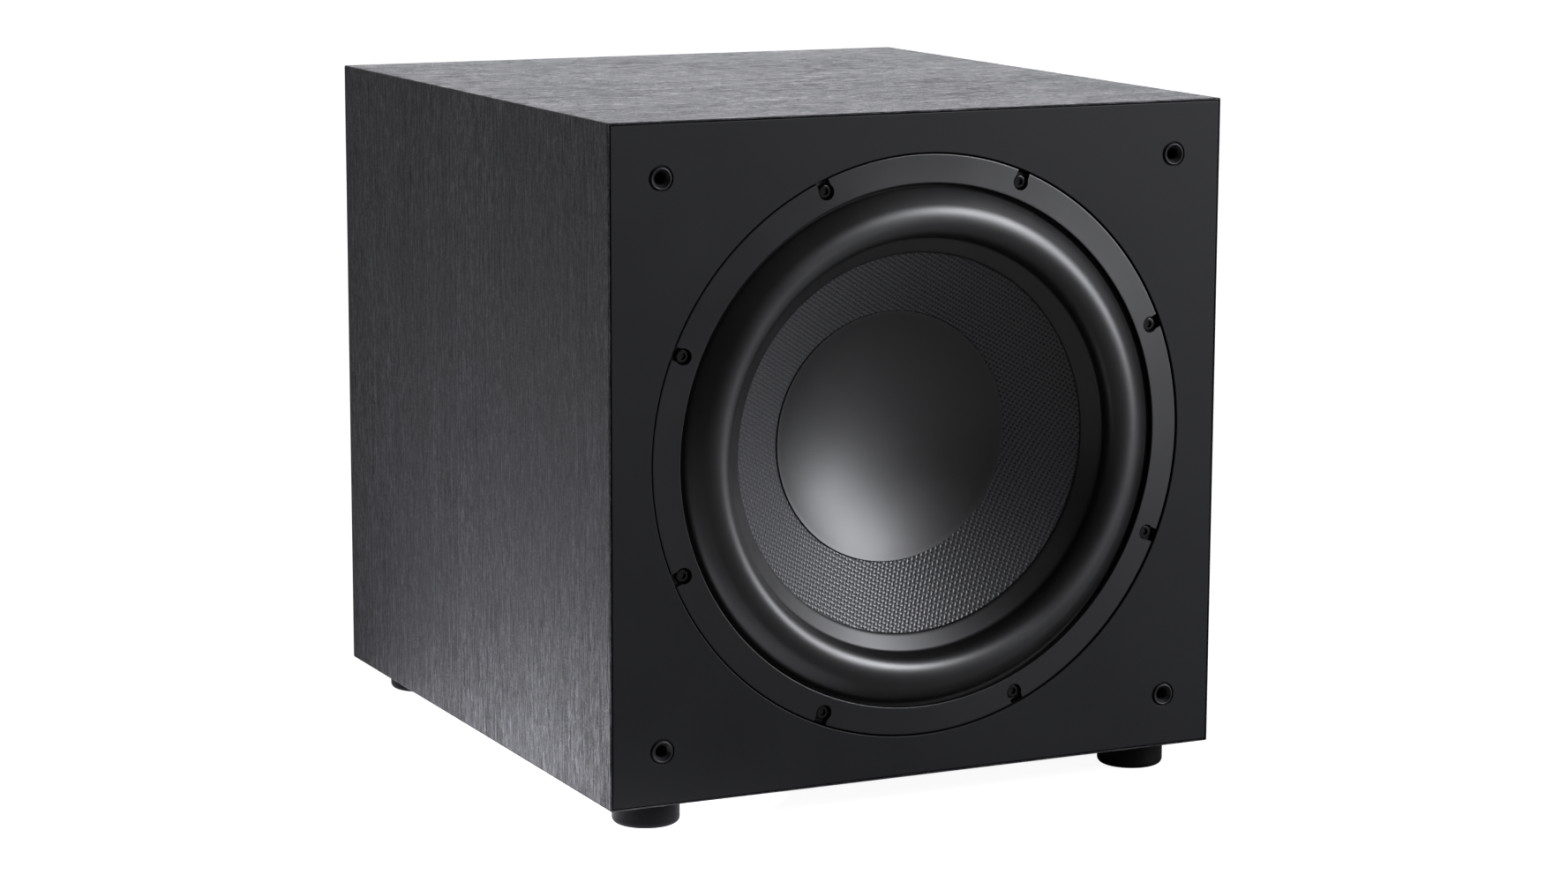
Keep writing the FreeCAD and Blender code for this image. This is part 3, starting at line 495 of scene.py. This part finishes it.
def cut(mesh, cutter, name):
    """The mesh with a closed cutter mesh taken away."""
    target = bpy.data.objects.new(name + "_target", mesh)
    tool = bpy.data.objects.new(name + "_tool", cutter)
    for item in (target, tool):
        bpy.context.scene.collection.objects.link(item)
    change = target.modifiers.new("cut", "BOOLEAN")
    change.operation = "DIFFERENCE"
    change.solver = "EXACT"
    change.object = tool
    graph = bpy.context.evaluated_depsgraph_get()
    result = bpy.data.meshes.new_from_object(target.evaluated_get(graph))
    for item in (target, tool):
        bpy.data.objects.remove(item)
    bm = bmesh.new()
    bm.from_mesh(result)
    return finish_mesh(bm, name)


# ---- cabinet ----

# Values times MM are in metres. Bare ones are radii and depths in millimetres, for ring_of and
# lathe, and depths are measured backwards from the front board's face.
CORNER_STEPS = 6
WIDTH_STEPS = 24
LIP_DEPTH = 2.6 * MM
LIP_HEIGHT = 0.9 * MM
REAR_EDGE = 0.5 * MM
EDGE = 0.8 * MM
SEAM = 0.55 * MM
SEAM_DEPTH = 2.4 * MM
BOARD_GAP = 0.05 * MM
BOARD_BACK = 25.0
RECESS = 159.0
RECESS_DEPTH = 10.5
CUTOUT = 141.0
SOCKET_INSET = 29.7 * MM
SOCKET_X = HALF_WIDTH - SOCKET_INSET
SOCKET_Z = HALF_HEIGHT - SOCKET_INSET
SOCKETS = [(side * SOCKET_X, up * SOCKET_Z) for side in (-1, 1) for up in (-1, 1)]


def section(half_span, reach, offset, inner=False):
    """Points across a carcass panel at one depth under its outer face, from mitre to mitre."""
    radius = 0.0 if inner else max(EDGE - offset, 0.0)
    points = []
    for side in (-1, 1):
        corner = []
        for i in range(CORNER_STEPS + 1):
            t = math.radians(45.0 * i / CORNER_STEPS)
            x = half_span - offset - radius + radius * math.sin(t)
            z = -reach + offset + radius - radius * math.cos(t)
            corner.append((side * x, z))
        points.append(corner)
    left = points[0][::-1]
    right = points[1]
    start, height = left[-1]
    width = right[0][0] - start
    middle = [(start + width * i / WIDTH_STEPS, height) for i in range(1, WIDTH_STEPS)]
    return left + middle + right


def panel_mesh(name, half_span, reach, turn):
    """A carcass panel: mitred long edges, a softly rounded outer face and a rounded front lip."""
    bm = bmesh.new()
    depth = REAR_Y - FRONT_Y
    stations = [(depth, PANEL, True), (PANEL, PANEL, True)]
    stations += [(LIP_DEPTH, EDGE + LIP_HEIGHT, True), (LIP_DEPTH, EDGE, True)]
    for i in range(8):
        t = math.radians(90 - 90.0 * i / 7)
        stations.append((EDGE - EDGE * math.sin(t), EDGE - EDGE * math.cos(t), False))
    for i in range(1, 16):
        stations.append((EDGE + (depth - 2 * EDGE) * i / 15, 0.0, False))
    for i in range(1, 5):
        t = math.radians(90.0 * i / 4)
        y = depth - REAR_EDGE + REAR_EDGE * math.sin(t)
        stations.append((y, REAR_EDGE - REAR_EDGE * math.cos(t), False))
    angle = math.radians(turn)
    loops = []
    for y, offset, inner in stations:
        loop = []
        for x, z in section(half_span, reach, offset, inner):
            turned_x = x * math.cos(angle) + z * math.sin(angle)
            turned_z = z * math.cos(angle) - x * math.sin(angle)
            loop.append(bm.verts.new((AXIS_X + turned_x, FRONT_Y + y, AXIS_Z + turned_z)))
        loops.append(loop)
    for low, high in zip(loops, loops[1:] + loops[:1]):
        for i in range(len(low) - 1):
            bm.faces.new([low[i], low[i + 1], high[i + 1], high[i]])
    bm.faces.new([loop[0] for loop in loops])
    bm.faces.new([loop[-1] for loop in loops])
    bmesh.ops.remove_doubles(bm, verts=bm.verts, dist=1e-6)
    bmesh.ops.dissolve_degenerate(bm, edges=bm.edges, dist=1e-6)
    return finish_mesh(bm, name, 40.0)


def rectangle_ring(bm, half_w, half_h, y, sides=12):
    """A rectangular loop about the driver's axis, divided along its sides."""
    corners = [(-half_w, -half_h), (half_w, -half_h), (half_w, half_h), (-half_w, half_h)]
    ring = []
    for i in range(4):
        (x0, z0), (x1, z1) = corners[i], corners[(i + 1) % 4]
        for k in range(sides):
            x = x0 + (x1 - x0) * k / sides
            z = z0 + (z1 - z0) * k / sides
            ring.append(bm.verts.new((AXIS_X + x, FRONT_Y + y, AXIS_Z + z)))
    return ring


def loop_edges(bm, ring):
    """The edges round a closed ring of vertices."""
    pairs = zip(ring, ring[1:] + ring[:1])
    return [bm.edges.get(pair) or bm.edges.new(pair) for pair in pairs]


def baffle_mesh():
    """The front board: eased edges, a stepped recess for the driver and four socket holes."""
    bm = bmesh.new()
    inset = EDGE + SEAM
    ease = 0.5 * MM
    outer = []
    for i in range(5):
        t = math.radians(90.0 * i / 4)
        grow = ease * math.sin(t)
        y = ease - ease * math.cos(t)
        pulled_in = inset + ease - grow
        outer.append(rectangle_ring(bm, HALF_WIDTH - pulled_in, HALF_HEIGHT - pulled_in, y))
    outer.append(rectangle_ring(bm, HALF_WIDTH - inset, HALF_HEIGHT - inset, SEAM_DEPTH))
    inner_w = HALF_WIDTH - PANEL - BOARD_GAP
    inner_h = HALF_HEIGHT - PANEL - BOARD_GAP
    outer.append(rectangle_ring(bm, inner_w, inner_h, PANEL))
    outer.append(rectangle_ring(bm, inner_w, inner_h, BOARD_BACK * MM))
    for low, high in zip(outer, outer[1:]):
        bridge(bm, low, high)
    recess = [(RECESS + 0.3, 0.0), (RECESS + 0.1, 0.08), (RECESS, 0.3), (RECESS, RECESS_DEPTH)]
    recess += [(CUTOUT, RECESS_DEPTH), (CUTOUT, BOARD_BACK)]
    rings = [ring_of(bm, r * MM, y * MM, ROUND_STEPS) for r, y in recess]
    for low, high in zip(rings, rings[1:]):
        bridge(bm, low, high)
    front = loop_edges(bm, outer[0]) + loop_edges(bm, rings[0])
    rear = loop_edges(bm, outer[-1]) + loop_edges(bm, rings[-1])
    hole = [(7.1, 0.0), (6.95, 0.1), (6.95, 0.8), (4.65, 0.8), (4.65, 13.2)]
    for x, z in SOCKETS:
        loops = [ring_of(bm, r * MM, y * MM, 64, (x, z)) for r, y in hole]
        for low, high in zip(loops, loops[1:]):
            bridge(bm, low, high)
        bm.faces.new(loops[-1])
        front += loop_edges(bm, loops[0])
    bmesh.ops.triangle_fill(bm, edges=front, use_beauty=True, use_dissolve=False)
    bmesh.ops.triangle_fill(bm, edges=rear, use_beauty=True, use_dissolve=False)
    return finish_mesh(bm, "baffle", 28.0)


def socket_profile():
    """A cup with a funnel mouth inside a rounded bead."""
    hole = [(3.2, 11.5), (3.2, 1.9), (3.27, 1.5), (3.5, 1.1), (4.3, 0.25), (4.75, -0.3)]
    bead = arc((5.3, -0.1), 0.6, 222, 360, 10)
    return hole + bead + [(6.35, 0.75), (4.6, 0.75), (4.6, 13.0), (0, 13.0), (0, 11.5)]


def build_cabinet():
    """Four vinyl panels folded round a satin front board, and the grille's cups."""
    covers = (
        ("top", HALF_WIDTH, HALF_HEIGHT, 180, "top_vinyl"),
        ("bottom", HALF_WIDTH, HALF_HEIGHT, 0, "top_vinyl"),
        ("left", HALF_HEIGHT, HALF_WIDTH, 90, "carcass_vinyl"),
        ("right", HALF_HEIGHT, HALF_WIDTH, -90, "carcass_vinyl"),
    )
    for place, half_span, reach, turn, finish in covers:
        mesh = panel_mesh(place + "_cover", half_span, reach, turn)
        nodes = [place + "_panel"]
        add_piece(place + "_cover", mesh, "carcass_vinyl", "cabinet_body", nodes, materials[finish])
    add_piece("front_board", baffle_mesh(), "baffle_paint", "cabinet_body", ["front_baffle"])
    bm = bmesh.new()
    for centre in SOCKETS:
        lathe(socket_profile(), 96, True, bm, centre)
    cups = finish_mesh(bm, "grille_cups", 50)
    add_piece("grille_cups", cups, "socket_plastic", "cabinet_body", ["grille_sockets"])


# ---- driver ----

# Radii and depths in millimetres, like the cabinet's bare values.
RING_STEPS = 640
RING_INNER = 142.8
SCREW_CIRCLE = 152.2
SCREWS = 8
FIRST_SCREW = 22.5
NOTCH_RADIUS = 4.5
NOTCH_MOUTH = 3.75
NOTCH_FRONT = -3.0
NOTCH_BACK = 5.0
FLANGE_FRONT = 4.4
ROLL_INNER = 115.0
CREST = 123.8
BEND_OUTER = 140.0
BEND_INNER = 114.0
LIP_INNER = 104.0
CONE_SLOPE = 0.727
CONE_WALL = 1.2
CAP_RADIUS = 69.3
CAP_SAG = 18.0
SPIDER_INNER = 37.0
SPIDER_OUTER = 77.0


def cone_depth(radius):
    """Depth of the cone's front surface at a radius, in millimetres."""
    return FLANGE_FRONT + (ROLL_INNER - radius) * CONE_SLOPE


def notch_outline():
    """One screw notch seen from the front: a round bay with a straight mouth, pointing along +X."""
    outline = [(161.0, NOTCH_MOUTH), (154.7, NOTCH_MOUTH)]
    for k in range(29):
        t = math.radians(60 + 240 * k / 28)
        outline.append((SCREW_CIRCLE + NOTCH_RADIUS * math.cos(t), NOTCH_RADIUS * math.sin(t)))
    return outline + [(154.7, -NOTCH_MOUTH), (161.0, -NOTCH_MOUTH)]


def trim_ring_mesh():
    """The ring: a slightly sloping face, crisp eased edges and an open notch at each screw."""
    profile = [(RING_INNER, 3.2), (RING_INNER, -0.2)]
    profile += arc((RING_INNER + 0.35, -0.25), 0.35, 180, 275, 5)
    profile += [(143.6, -0.56), (157.2, 0.62)]
    profile += arc((157.6, 1.25), 0.6, 275, 360, 6)
    profile += [(158.2, 4.35), (147.4, 4.35), (147.4, 3.2)]
    ring = finish_mesh(lathe(profile, RING_STEPS), "ring_blank")
    bm = bmesh.new()
    for i in range(SCREWS):
        a = math.radians(FIRST_SCREW + 360 * i / SCREWS)
        loops = []
        for y in (NOTCH_FRONT, NOTCH_BACK):
            loop = []
            for r, z in notch_outline():
                x = (r * math.cos(a) - z * math.sin(a)) * MM
                up = (r * math.sin(a) + z * math.cos(a)) * MM
                loop.append(bm.verts.new((AXIS_X + x, FRONT_Y + y * MM, AXIS_Z + up)))
            loops.append(loop)
        bridge(bm, loops[0], loops[1])
        bm.faces.new(loops[0])
        bm.faces.new(loops[1])
    return cut(ring, finish_mesh(bm, "notches"), "trim_ring_face")


def surround_profile():
    """A tall roll, steeper on its inner side, between a flat outer lip and one lying on the cone."""
    front = [(147.0, 4.0), (141.9, 4.15), (141.2, 3.6), (140.6, 2.4), (139.8, 1.0)]
    front += arc((CREST, 4.8), 13.0, -52, -90, 24)
    front += arc((CREST, 2.1), 10.3, -90, -180, 36)[1:]
    front += [(113.45, 3.4), (113.2, 4.3), (112.6, 5.0)]
    front += [(r, cone_depth(r) - 1.15) for r in (112.0, 110, 108, 106.5, 105.4)]
    front += [(104.6, cone_depth(104.6) - 1.1), (104.15, cone_depth(104.2) - 0.85)]
    front += [(LIP_INNER, cone_depth(LIP_INNER) - 0.3)]
    back = [(r, cone_depth(r) - 0.02) for r in (LIP_INNER, 112.6)]
    back += [(114.6, 5.2), (114.8, 3.6)]
    back += arc((CREST, 2.1), 9.0, -180, -90, 20)
    back += arc((CREST, 4.8), 11.7, -90, -52, 12)[1:]
    back += [(138.4, 1.6), (139.6, 4.1), (140.2, 4.4), (147.0, 4.4)]
    return front + back


def cone_profile():
    """The cone's thin wall, from under the surround's lip to the coil's former."""
    radii = [ROLL_INNER, 110.0, LIP_INNER, 98.0, 92.0, 86.0, 80.0, 74.0, 68.0, 60.0, 50.0, 40.0, 32.55]
    front = [(r, cone_depth(r)) for r in radii]
    return front + [(r, y + CONE_WALL) for r, y in reversed(front)]


def cap_profile():
    """An inward dish with a small turned edge that sits on the cone."""
    dish = (CAP_RADIUS**2 + CAP_SAG**2) / (2 * CAP_SAG)
    rim = cone_depth(CAP_RADIUS) - 1.2
    middle = rim + CAP_SAG - dish
    front = []
    for i in range(40):
        r = (CAP_RADIUS - 0.9) * i / 39
        front.append((r, middle + math.sqrt(dish**2 - r**2)))
    edge = [(CAP_RADIUS - 0.3, rim + 0.25), (CAP_RADIUS - 0.05, rim + 0.6), (CAP_RADIUS - 0.4, rim + 1.1)]
    back = [(r, middle + math.sqrt((dish + 1) ** 2 - r**2)) for r in (67.6, 60, 50, 40, 30, 20, 10, 0)]
    return front + edge + back


def radius_at(point):
    """Distance of a point from the driver's axis, in millimetres."""
    return math.hypot(point.x - AXIS_X, point.z - AXIS_Z) / MM


def build_driver():
    """The ring, the surround that bends between the ring and the cone, the cone and its cap."""
    add_piece("trim_ring_face", trim_ring_mesh(), "ring_plastic", "cabinet_body", ["trim_ring"])
    mesh = finish_mesh(lathe(surround_profile()), "surround_roll", 50)
    roll = add_piece("surround_roll", mesh, "surround_rubber", None, ["surround"])
    blend_by(roll, lambda co: (BEND_OUTER - radius_at(co)) / (BEND_OUTER - BEND_INNER))
    mesh = finish_mesh(lathe(cone_profile()), "cone_cloth", 50)
    add_piece("cone_cloth", mesh, "woven_cone", "cone_body", ["cone"])
    mesh = finish_mesh(lathe(cap_profile(), closed=False), "dust_cap_dish", 60)
    add_piece("dust_cap_dish", mesh, "cap_plastic", "cone_body", ["dust_cap"])


def spider_profile():
    """A cloth disc pressed into nine even waves between two flat rims."""
    width = SPIDER_OUTER - SPIDER_INNER
    flat, wave, wall = 75.0, 2.2, 0.9
    front = [(32.6, flat)]
    for i in range(181):
        front.append((SPIDER_INNER + width * i / 180, flat - wave * math.sin(math.pi * i / 20)))
    front.append((85.0, flat))
    return front + [(r, y + wall) for r, y in reversed(front)]


def tube_along(points, radius, sides=10, cuts=8):
    """A round tube on a smooth curve through points."""
    path = []
    for i in range(len(points) - 1):
        p0, p1 = points[max(i - 1, 0)], points[i]
        p2, p3 = points[i + 1], points[min(i + 2, len(points) - 1)]
        for k in range(cuts):
            t = k / cuts
            near = p1 * 2 + (p2 - p0) * t
            far = (p0 * 2 - p1 * 5 + p2 * 4 - p3) * t**2 + (p1 * 3 - p0 - p2 * 3 + p3) * t**3
            path.append((near + far) / 2)
    path.append(points[-1])
    bm = bmesh.new()
    rings = []
    for i, point in enumerate(path):
        along = (path[min(i + 1, len(path) - 1)] - path[max(i - 1, 0)]).normalized()
        side = Vector((1, 0, 0))
        up = along.cross(side).normalized()
        ring = []
        for k in range(sides):
            a = 2 * math.pi * k / sides
            ring.append(bm.verts.new(point + (side * math.cos(a) + up * math.sin(a)) * radius))
        rings.append(ring)
    for low, high in zip(rings, rings[1:]):
        bridge(bm, low, high)
    bm.faces.new(rings[0])
    bm.faces.new(rings[-1])
    return bm


def blend_by(piece, share):
    """Bend a piece between the cabinet and the cone by a share worked out at each point."""
    start = Vector((AXIS_X, FRONT_Y, AXIS_Z))
    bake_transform(piece, "cabinet_body", "cone_body", start=start, end=start + Vector((0, 0.01, 0)))
    weights = piece.data.attributes["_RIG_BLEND"].data
    for vert in piece.data.vertices:
        t = min(max(share(vert.co), 0.0), 1.0)
        weights[vert.index].value = t * t * (3 - 2 * t)


def build_suspension():
    """The spider and the two flexible leads, which bend as the cone moves."""
    mesh = finish_mesh(lathe(spider_profile()), "spider_disc", 60)
    disc = add_piece("spider_disc", mesh, "spider_cloth", None, ["spider"])
    blend_by(disc, lambda co: (SPIDER_OUTER - radius_at(co)) / (SPIDER_OUTER - SPIDER_INNER))
    bm = bmesh.new()
    lead_apart = 8.0
    route = [(33, 70), (42, 66), (56, 64), (72, 64), (85, 66), (92.5, 69.3), (94, 74.6)]
    for x in (-lead_apart, lead_apart):
        points = [Vector((AXIS_X + x * MM, FRONT_Y + y * MM, AXIS_Z + z * MM)) for z, y in route]
        tube = tube_along(points, 0.8 * MM)
        part = bpy.data.meshes.new("lead")
        tube.to_mesh(part)
        tube.free()
        bm.from_mesh(part)
    mesh = finish_mesh(bm, "tinsel_braids")
    leads = add_piece("tinsel_braids", mesh, "tinsel_braid", None, ["tinsel_leads"])
    near, far = route[0][0], route[-1][0]
    blend_by(leads, lambda co: (far - (co.z - AXIS_Z) / MM) / (far - near))


# ---- rear plate ----

PLATE_Y = 400.3 * MM
GROOVE_Y = 414.6 * MM
# Printed lines: widths, radii about a knob, and places about the driver's axis, in millimetres.
MARK = 0.6
FRAME = 0.5
POINTER = 0.8
SCALE_START = 16
SCALE_LONG = 19.4
SCALE_SHORT = 18.2
JACK_FRAME = (-64.0, -36.0, 46.0, 98.0)
MAINS_FRAME = (-62.0, 58.0, -117.5, -77.0)


def ink_line(bm, x0, z0, x1, z1, width, face=PLATE_Y):
    """A thin printed line between two points about the axis, in millimetres, on a face to the rear."""
    a = Vector((AXIS_X + x0 * MM, 0, AXIS_Z + z0 * MM))
    b = Vector((AXIS_X + x1 * MM, 0, AXIS_Z + z1 * MM))
    across = (b - a).normalized().cross(Vector((0, 1, 0))) * (width * MM / 2)
    loops = []
    for y in (face - 0.05 * MM, face + 0.03 * MM):
        lift = Vector((0, FRONT_Y + y, 0))
        loops.append([bm.verts.new(p + lift) for p in (a - across, a + across, b + across, b - across)])
    bridge(bm, loops[0], loops[1])
    bm.faces.new(loops[0])
    bm.faces.new(loops[1])


def ink_frame(bm, x0, x1, z0, z1, width):
    """A printed rectangle."""
    half = width / 2
    ink_line(bm, x0 - half, z0, x1 + half, z0, width)
    ink_line(bm, x0 - half, z1, x1 + half, z1, width)
    ink_line(bm, x0, z0 + half, x0, z1 - half, width)
    ink_line(bm, x1, z0 + half, x1, z1 - half, width)


def middle_of(node):
    """The middle of a node's box across and up from the axis, in millimetres."""
    low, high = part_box(node)
    return ((low.x + high.x) / 2 - AXIS_X) / MM, ((low.z + high.z) / 2 - AXIS_Z) / MM


def build_pointers(ink):
    """A white line in each knob's groove, which turns with the knob."""
    for name in ("volume", "crossover"):
        x0, z0 = middle_of(name + "_knob")
        bm = bmesh.new()
        ink_line(bm, x0, z0 + 4.0, x0, z0 + 11.6, POINTER, GROOVE_Y)
        mesh = finish_mesh(bm, name + "_pointer")
        add_piece(name + "_pointer", mesh, "jack_white_plastic", name + "_body", (), ink)


def build_markings():
    """Plain scales and frames printed round the controls, with no lettering."""
    bm = bmesh.new()
    for node in ("volume_knob", "crossover_knob"):
        x0, z0 = middle_of(node)
        for i in range(11):
            a = math.radians(240 - 30 * i)
            far = SCALE_LONG if i in (0, 5, 10) else SCALE_SHORT
            x, z = math.cos(a), math.sin(a)
            start_x, start_z = x0 + SCALE_START * x, z0 + SCALE_START * z
            ink_line(bm, start_x, start_z, x0 + far * x, z0 + far * z, MARK)
    for node, stops in (("phase_slider", (0.0, 4.0)), ("mode_slider", (-3.0, 0.0, 3.0))):
        x0, z0 = middle_of(node)
        for stop in stops:
            ink_line(bm, x0 + 5.0, z0 + stop, x0 + 8.5, z0 + stop, MARK)
    ink_frame(bm, *JACK_FRAME, FRAME)
    left, right, low, high = JACK_FRAME
    middle = (low + high) / 2
    ink_line(bm, left, middle, left + 5.0, middle, FRAME)
    ink_line(bm, right - 5.0, middle, right, middle, FRAME)
    ink_frame(bm, *MAINS_FRAME, FRAME)
    mesh = finish_mesh(bm, "plate_print")
    ink = satin_paint("white_ink", (0.62, 0.62, 0.6), 0.5)
    add_piece("plate_print", mesh, "jack_white_plastic", "cabinet_body", (), ink)
    build_pointers(ink)


# ---- scene ----


GLOW_X = -0.35
GLOW_Y = -0.07
REAR_RIGHT = (0.431, 0.902, 0)


def studio_floor():
    """A pale floor, white to the camera and grey to the object, that glows beside the left panel."""
    bm = bmesh.new()
    bmesh.ops.create_circle(bm, cap_ends=True, segments=96, radius=14.0)
    mesh = bpy.data.meshes.new("studio_floor")
    bm.to_mesh(mesh)
    bm.free()
    floor = bpy.data.objects.new("studio_floor", mesh)
    bpy.context.scene.collection.objects.link(floor)
    mat = new_material("floor_paper", (0.3, 0.3, 0.3), 0.85, Emission_Color=(1, 1, 1, 1))
    g = Graph(mat)
    g.colour(g.blend_colours(g.noise(3.0, 2.0), (0.29, 0.29, 0.29), (0.31, 0.31, 0.31)))
    depth = g.split()["Y"]
    from_patch = g.distance(g.mapped(location=(-GLOW_X, -GLOW_Y, 0)), "XY")
    beside = g.times(g.remap(from_patch, 0.05, 0.36, 5.4, 0.0), g.remap(depth, -0.27, -0.16))
    behind = g.math("MAXIMUM", g.remap(depth, -0.1, 1.5, 0.0, 0.06), beside)
    seen = g.tree.nodes.new("ShaderNodeLightPath").outputs["Is Camera Ray"]
    g.put(g.shader.inputs["Emission Color"], g.blend_colours(seen, (0.92, 0.925, 1.0), (1, 1, 1)))
    g.put(g.shader.inputs["Emission Strength"], g.math("MAXIMUM", g.times(seen, 0.93), behind))
    mesh.materials.append(mat)


def surroundings():
    """White to the camera; dim in front and bright behind on the right to the object."""
    world = bpy.data.worlds.new("studio_world")
    bpy.context.scene.world = world
    world.use_nodes = True
    tree = world.node_tree
    background = tree.nodes["Background"]
    background.inputs["Color"].default_value = (0.97, 0.975, 1, 1)
    coords = tree.nodes.new("ShaderNodeTexCoord")
    rear_right = tree.nodes.new("ShaderNodeVectorMath")
    rear_right.operation = "DOT_PRODUCT"
    rear_right.inputs[1].default_value = REAR_RIGHT
    tree.links.new(coords.outputs["Generated"], rear_right.inputs[0])
    ramp = tree.nodes.new("ShaderNodeMapRange")
    limits = {"From Min": 0.35, "From Max": 1.0, "To Min": 0.04, "To Max": 1.12}
    for socket, value in limits.items():
        ramp.inputs[socket].default_value = value
    tree.links.new(rear_right.outputs["Value"], ramp.inputs["Value"])
    path = tree.nodes.new("ShaderNodeLightPath")
    mix = tree.nodes.new("ShaderNodeMix")
    mix.inputs["B"].default_value = 1.0
    tree.links.new(path.outputs["Is Camera Ray"], mix.inputs["Factor"])
    tree.links.new(ramp.outputs["Result"], mix.inputs["A"])
    tree.links.new(mix.outputs["Result"], background.inputs["Strength"])


def towards(azimuth, elevation):
    """A direction from the cabinet, in degrees; azimuth 0 is straight in front, 90 to the right."""
    a = math.radians(azimuth)
    e = math.radians(elevation)
    return Vector((math.sin(a) * math.cos(e), -math.cos(a) * math.cos(e), math.sin(e)))


def softbox(name, azimuth, elevation, size, radiance, distance=3.4):
    """A soft rectangular lamp that faces the cabinet and that the camera doesn't see."""
    light = bpy.data.lights.new(name, "AREA")
    light.color = (0.94, 0.95, 1.0)
    light.shape = "RECTANGLE"
    light.size = size[0]
    light.size_y = size[1]
    light.energy = radiance * math.pi * size[0] * size[1]
    lamp = bpy.data.objects.new(name, light)
    bpy.context.scene.collection.objects.link(lamp)
    lamp.visible_camera = False
    away = towards(azimuth, elevation)
    lamp.location = Vector((0, -0.1, AXIS_Z)) + away * distance
    lamp.rotation_euler = (-away).to_track_quat("-Z", "Y").to_euler()


def lights():
    """Two large lamps in front on the right, and one behind."""
    softbox("key_box", azimuth=45, elevation=30, size=(1.6, 1.2), radiance=14.0)
    softbox("low_key_box", azimuth=52, elevation=9, size=(1.5, 0.9), radiance=8.5)
    softbox("rear_box", azimuth=157, elevation=15, size=(1.7, 1.1), radiance=3.7)


CAMERA_PLACE = (-0.9831, -2.0735, 0.5720)
CAMERA_AZIMUTH = -25.713
CAMERA_ELEVATION = 9.984
CAMERA_ROLL = math.radians(0.183)
LENS = 91.64


def camera():
    """A long lens, from the front left and a little above."""
    back = towards(CAMERA_AZIMUTH, CAMERA_ELEVATION)
    right = Vector((0, 0, 1)).cross(back).normalized()
    up = back.cross(right)
    turned_right = right * math.cos(CAMERA_ROLL) + up * math.sin(CAMERA_ROLL)
    turned_up = up * math.cos(CAMERA_ROLL) - right * math.sin(CAMERA_ROLL)
    lens = bpy.data.cameras.new("camera")
    lens.lens = LENS
    lens.sensor_width = 36.0
    eye = bpy.data.objects.new("camera", lens)
    bpy.context.scene.collection.objects.link(eye)
    rotation = Matrix((turned_right, turned_up, back)).transposed().to_4x4()
    eye.matrix_world = Matrix.Translation(CAMERA_PLACE) @ rotation
    bpy.context.scene.camera = eye


camera()
studio_floor()
surroundings()
lights()
materials = dress_cad_nodes()
build_cabinet()
build_driver()
build_suspension()
build_markings()
bpy.context.scene.view_settings.view_transform = "Standard"
